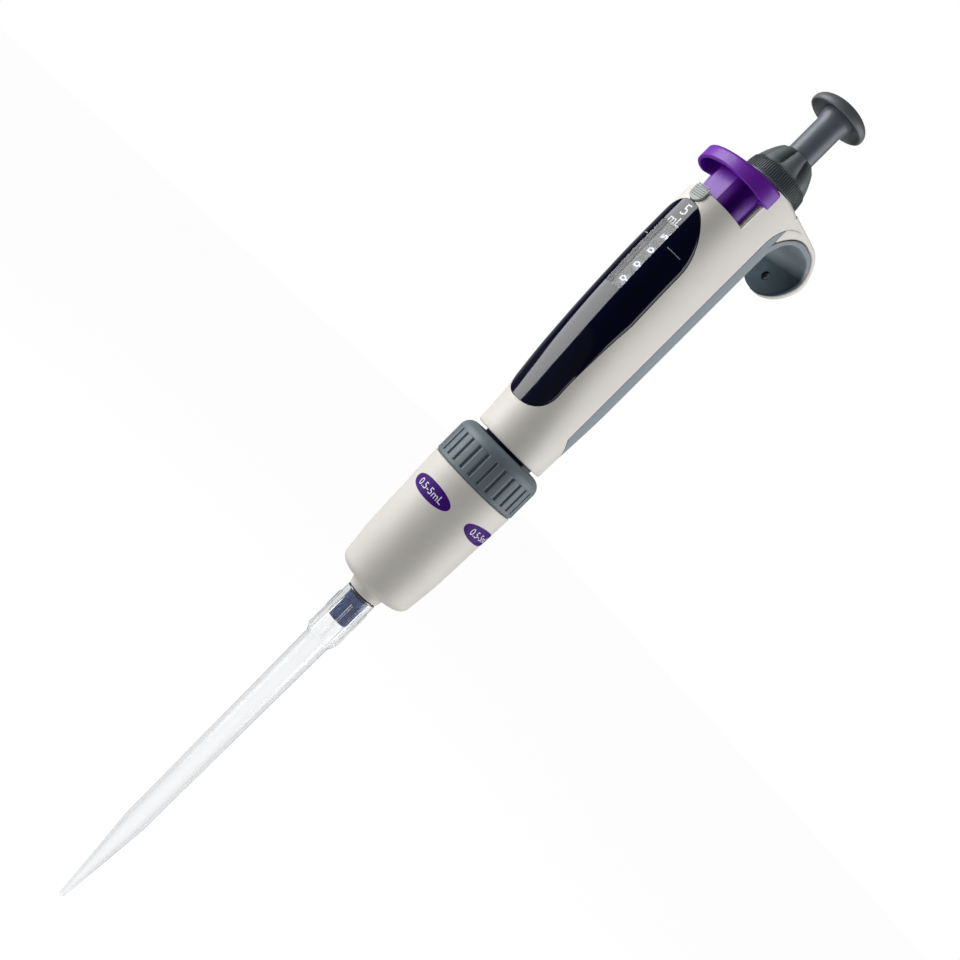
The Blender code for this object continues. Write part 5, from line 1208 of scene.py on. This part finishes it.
def make_hidden_parts():
    """Finishes of the mechanism inside, of the neck and of the screw in the hook."""
    for finish, body, slot, *nodes in HIDDEN_PARTS:
        for node in nodes:
            polished(node, finish, body, slot)


# floor, lamps, background and camera

# name, angle from the camera, outline, height of its middle, width, height and power
SOFTBOXES = (("left_softbox", -84.0, "ELLIPSE", 390.0 * MM, 0.46, 0.56, 3.5),
             ("right_softbox", 88.0, "RECTANGLE", VIEW_HEIGHT, 0.49, 0.95, 3.7))
LAMP_DISTANCE = 0.50
GLOSS_DARK = 0.03
GLOSS_LIGHT = 0.35
GLOSS_FROM = 0.5
GLOSS_TO = 0.95
AMBIENT = 0.10
FLOOR_SIZE = 3.0
FLOOR_DROP = 0.2 * MM
FLOOR_GREY = (0.8, 0.8, 0.8, 1.0)
FLOOR_GLOW = 1.08
FLOOR_SHARE = 0.9


def side_point(turn, distance, height):
    """A point round the axis, at an angle from the camera's side."""
    angle = math.radians(VIEW_AZIMUTH + turn)
    return Vector((distance * math.sin(angle), AXIS.y - distance * math.cos(angle), AXIS.z + height))


def softbox(name, turn, outline, height, width, tall, power):
    """A large soft lamp that faces the pipette's axis."""
    lamp = bpy.data.lights.new(name, "AREA")
    lamp.shape = outline
    lamp.size = width
    lamp.size_y = tall
    lamp.energy = power
    holder = show(name, lamp)
    holder.location = side_point(turn, LAMP_DISTANCE, height)
    aim = Vector((0.0, AXIS.y, AXIS.z + height)) - holder.location
    holder.rotation_euler = aim.to_track_quat("-Z", "Y").to_euler()
    holder.visible_camera = False


def direct_rays(tree):
    """The kinds of ray, and whether one comes from the camera, straight or through clear plastic."""
    kinds = add(tree, "ShaderNodeLightPath").outputs
    return kinds, maths(tree, "MAXIMUM", kinds["Is Camera Ray"], kinds["Is Transmission Ray"])


def make_floor():
    """Plain pale floor under the tip: white to the camera where no shadow falls."""
    bm = bmesh.new()
    bmesh.ops.create_grid(bm, x_segments=1, y_segments=1, size=FLOOR_SIZE)
    floor = show("floor", to_mesh("floor", bm))
    floor.location = (0.0, 0.0, AXIS.z - FLOOR_DROP)
    paint = bpy.data.materials.new("white_floor")
    paint.use_nodes = True
    tree = paint.node_tree
    tree.nodes.remove(tree.nodes["Principled BSDF"])
    cloth = add(tree, "ShaderNodeBsdfDiffuse", Color=FLOOR_GREY)
    glow = add(tree, "ShaderNodeEmission", Color=WHITE, Strength=FLOOR_GLOW)
    share = maths(tree, "MULTIPLY", direct_rays(tree)[1], FLOOR_SHARE)
    mix_shaders(tree, share, cloth.outputs["BSDF"], glow.outputs["Emission"])
    floor.data.materials.append(paint)


def make_background():
    """White behind the pipette; gloss sees the dark side of the studio behind the camera."""
    world = bpy.data.worlds.new("studio")
    bpy.context.scene.world = world
    world.use_nodes = True
    tree = world.node_tree
    tree.nodes.clear()
    kinds, direct = direct_rays(tree)
    facing = tree.nodes.new("ShaderNodeVectorMath")
    facing.operation = "DOT_PRODUCT"
    facing.inputs[1].default_value = side_point(180.0, 1.0, 0.0) - Vector((0.0, AXIS.y, AXIS.z))
    tree.links.new(add(tree, "ShaderNodeTexCoord").outputs["Generated"], facing.inputs[0])
    sweep = remap(tree, facing.outputs["Value"], GLOSS_DARK, GLOSS_LIGHT, GLOSS_FROM, GLOSS_TO)
    gloss = maths(tree, "MULTIPLY", kinds["Is Glossy Ray"], sweep)
    fill = maths(tree, "MULTIPLY", kinds["Is Diffuse Ray"], AMBIENT)
    light = maths(tree, "MAXIMUM", maths(tree, "MAXIMUM", direct, gloss), fill)
    back = add(tree, "ShaderNodeBackground", Color=WHITE, Strength=light)
    add(tree, "ShaderNodeOutputWorld", Surface=back.outputs["Background"])


def place_camera():
    """Level camera at the photograph's angle, rolled so that the axis rises to the right.

    The photograph is framed lower than its camera stood, which the lens shift follows.
    """
    lens = bpy.data.cameras.new("photo_view")
    lens.lens = LENS_LENGTH
    lens.sensor_width = SENSOR
    tilt = math.radians(AXIS_TILT)
    framing = (VIEW_MIDDLE - VIEW_HEIGHT) / VIEW_DISTANCE * LENS_LENGTH / SENSOR
    lens.shift_x = framing * math.cos(tilt)
    lens.shift_y = framing * math.sin(tilt)
    lens.clip_start = 0.01
    lens.clip_end = 20.0
    holder = show("photo_view", lens)
    azimuth = math.radians(VIEW_AZIMUTH)
    away = Vector((math.sin(azimuth), -math.cos(azimuth), 0.0))
    level = Vector((math.cos(azimuth), math.sin(azimuth), 0.0))
    rise = Vector((0.0, 0.0, 1.0))
    right = math.sin(tilt) * level + math.cos(tilt) * rise
    up = math.sin(tilt) * rise - math.cos(tilt) * level
    place = Vector((0.0, AXIS.y, AXIS.z + VIEW_HEIGHT)) + VIEW_SIDE * level + VIEW_DISTANCE * away
    holder.matrix_world = Matrix.Translation(place) @ Matrix((right, up, away)).transposed().to_4x4()
    bpy.context.scene.camera = holder
    bpy.context.scene.view_settings.view_transform = "Standard"


make_tip()
make_nozzle()
make_sleeve()
make_ring_nut()
make_grip()
make_lens()
make_housing()
make_ejector()
make_lock()
make_plunger_top()
make_knob()
make_numbers()
make_window_prints()
make_hidden_parts()
make_floor()
for lamp_row in SOFTBOXES:
    softbox(*lamp_row)
make_background()
place_camera()
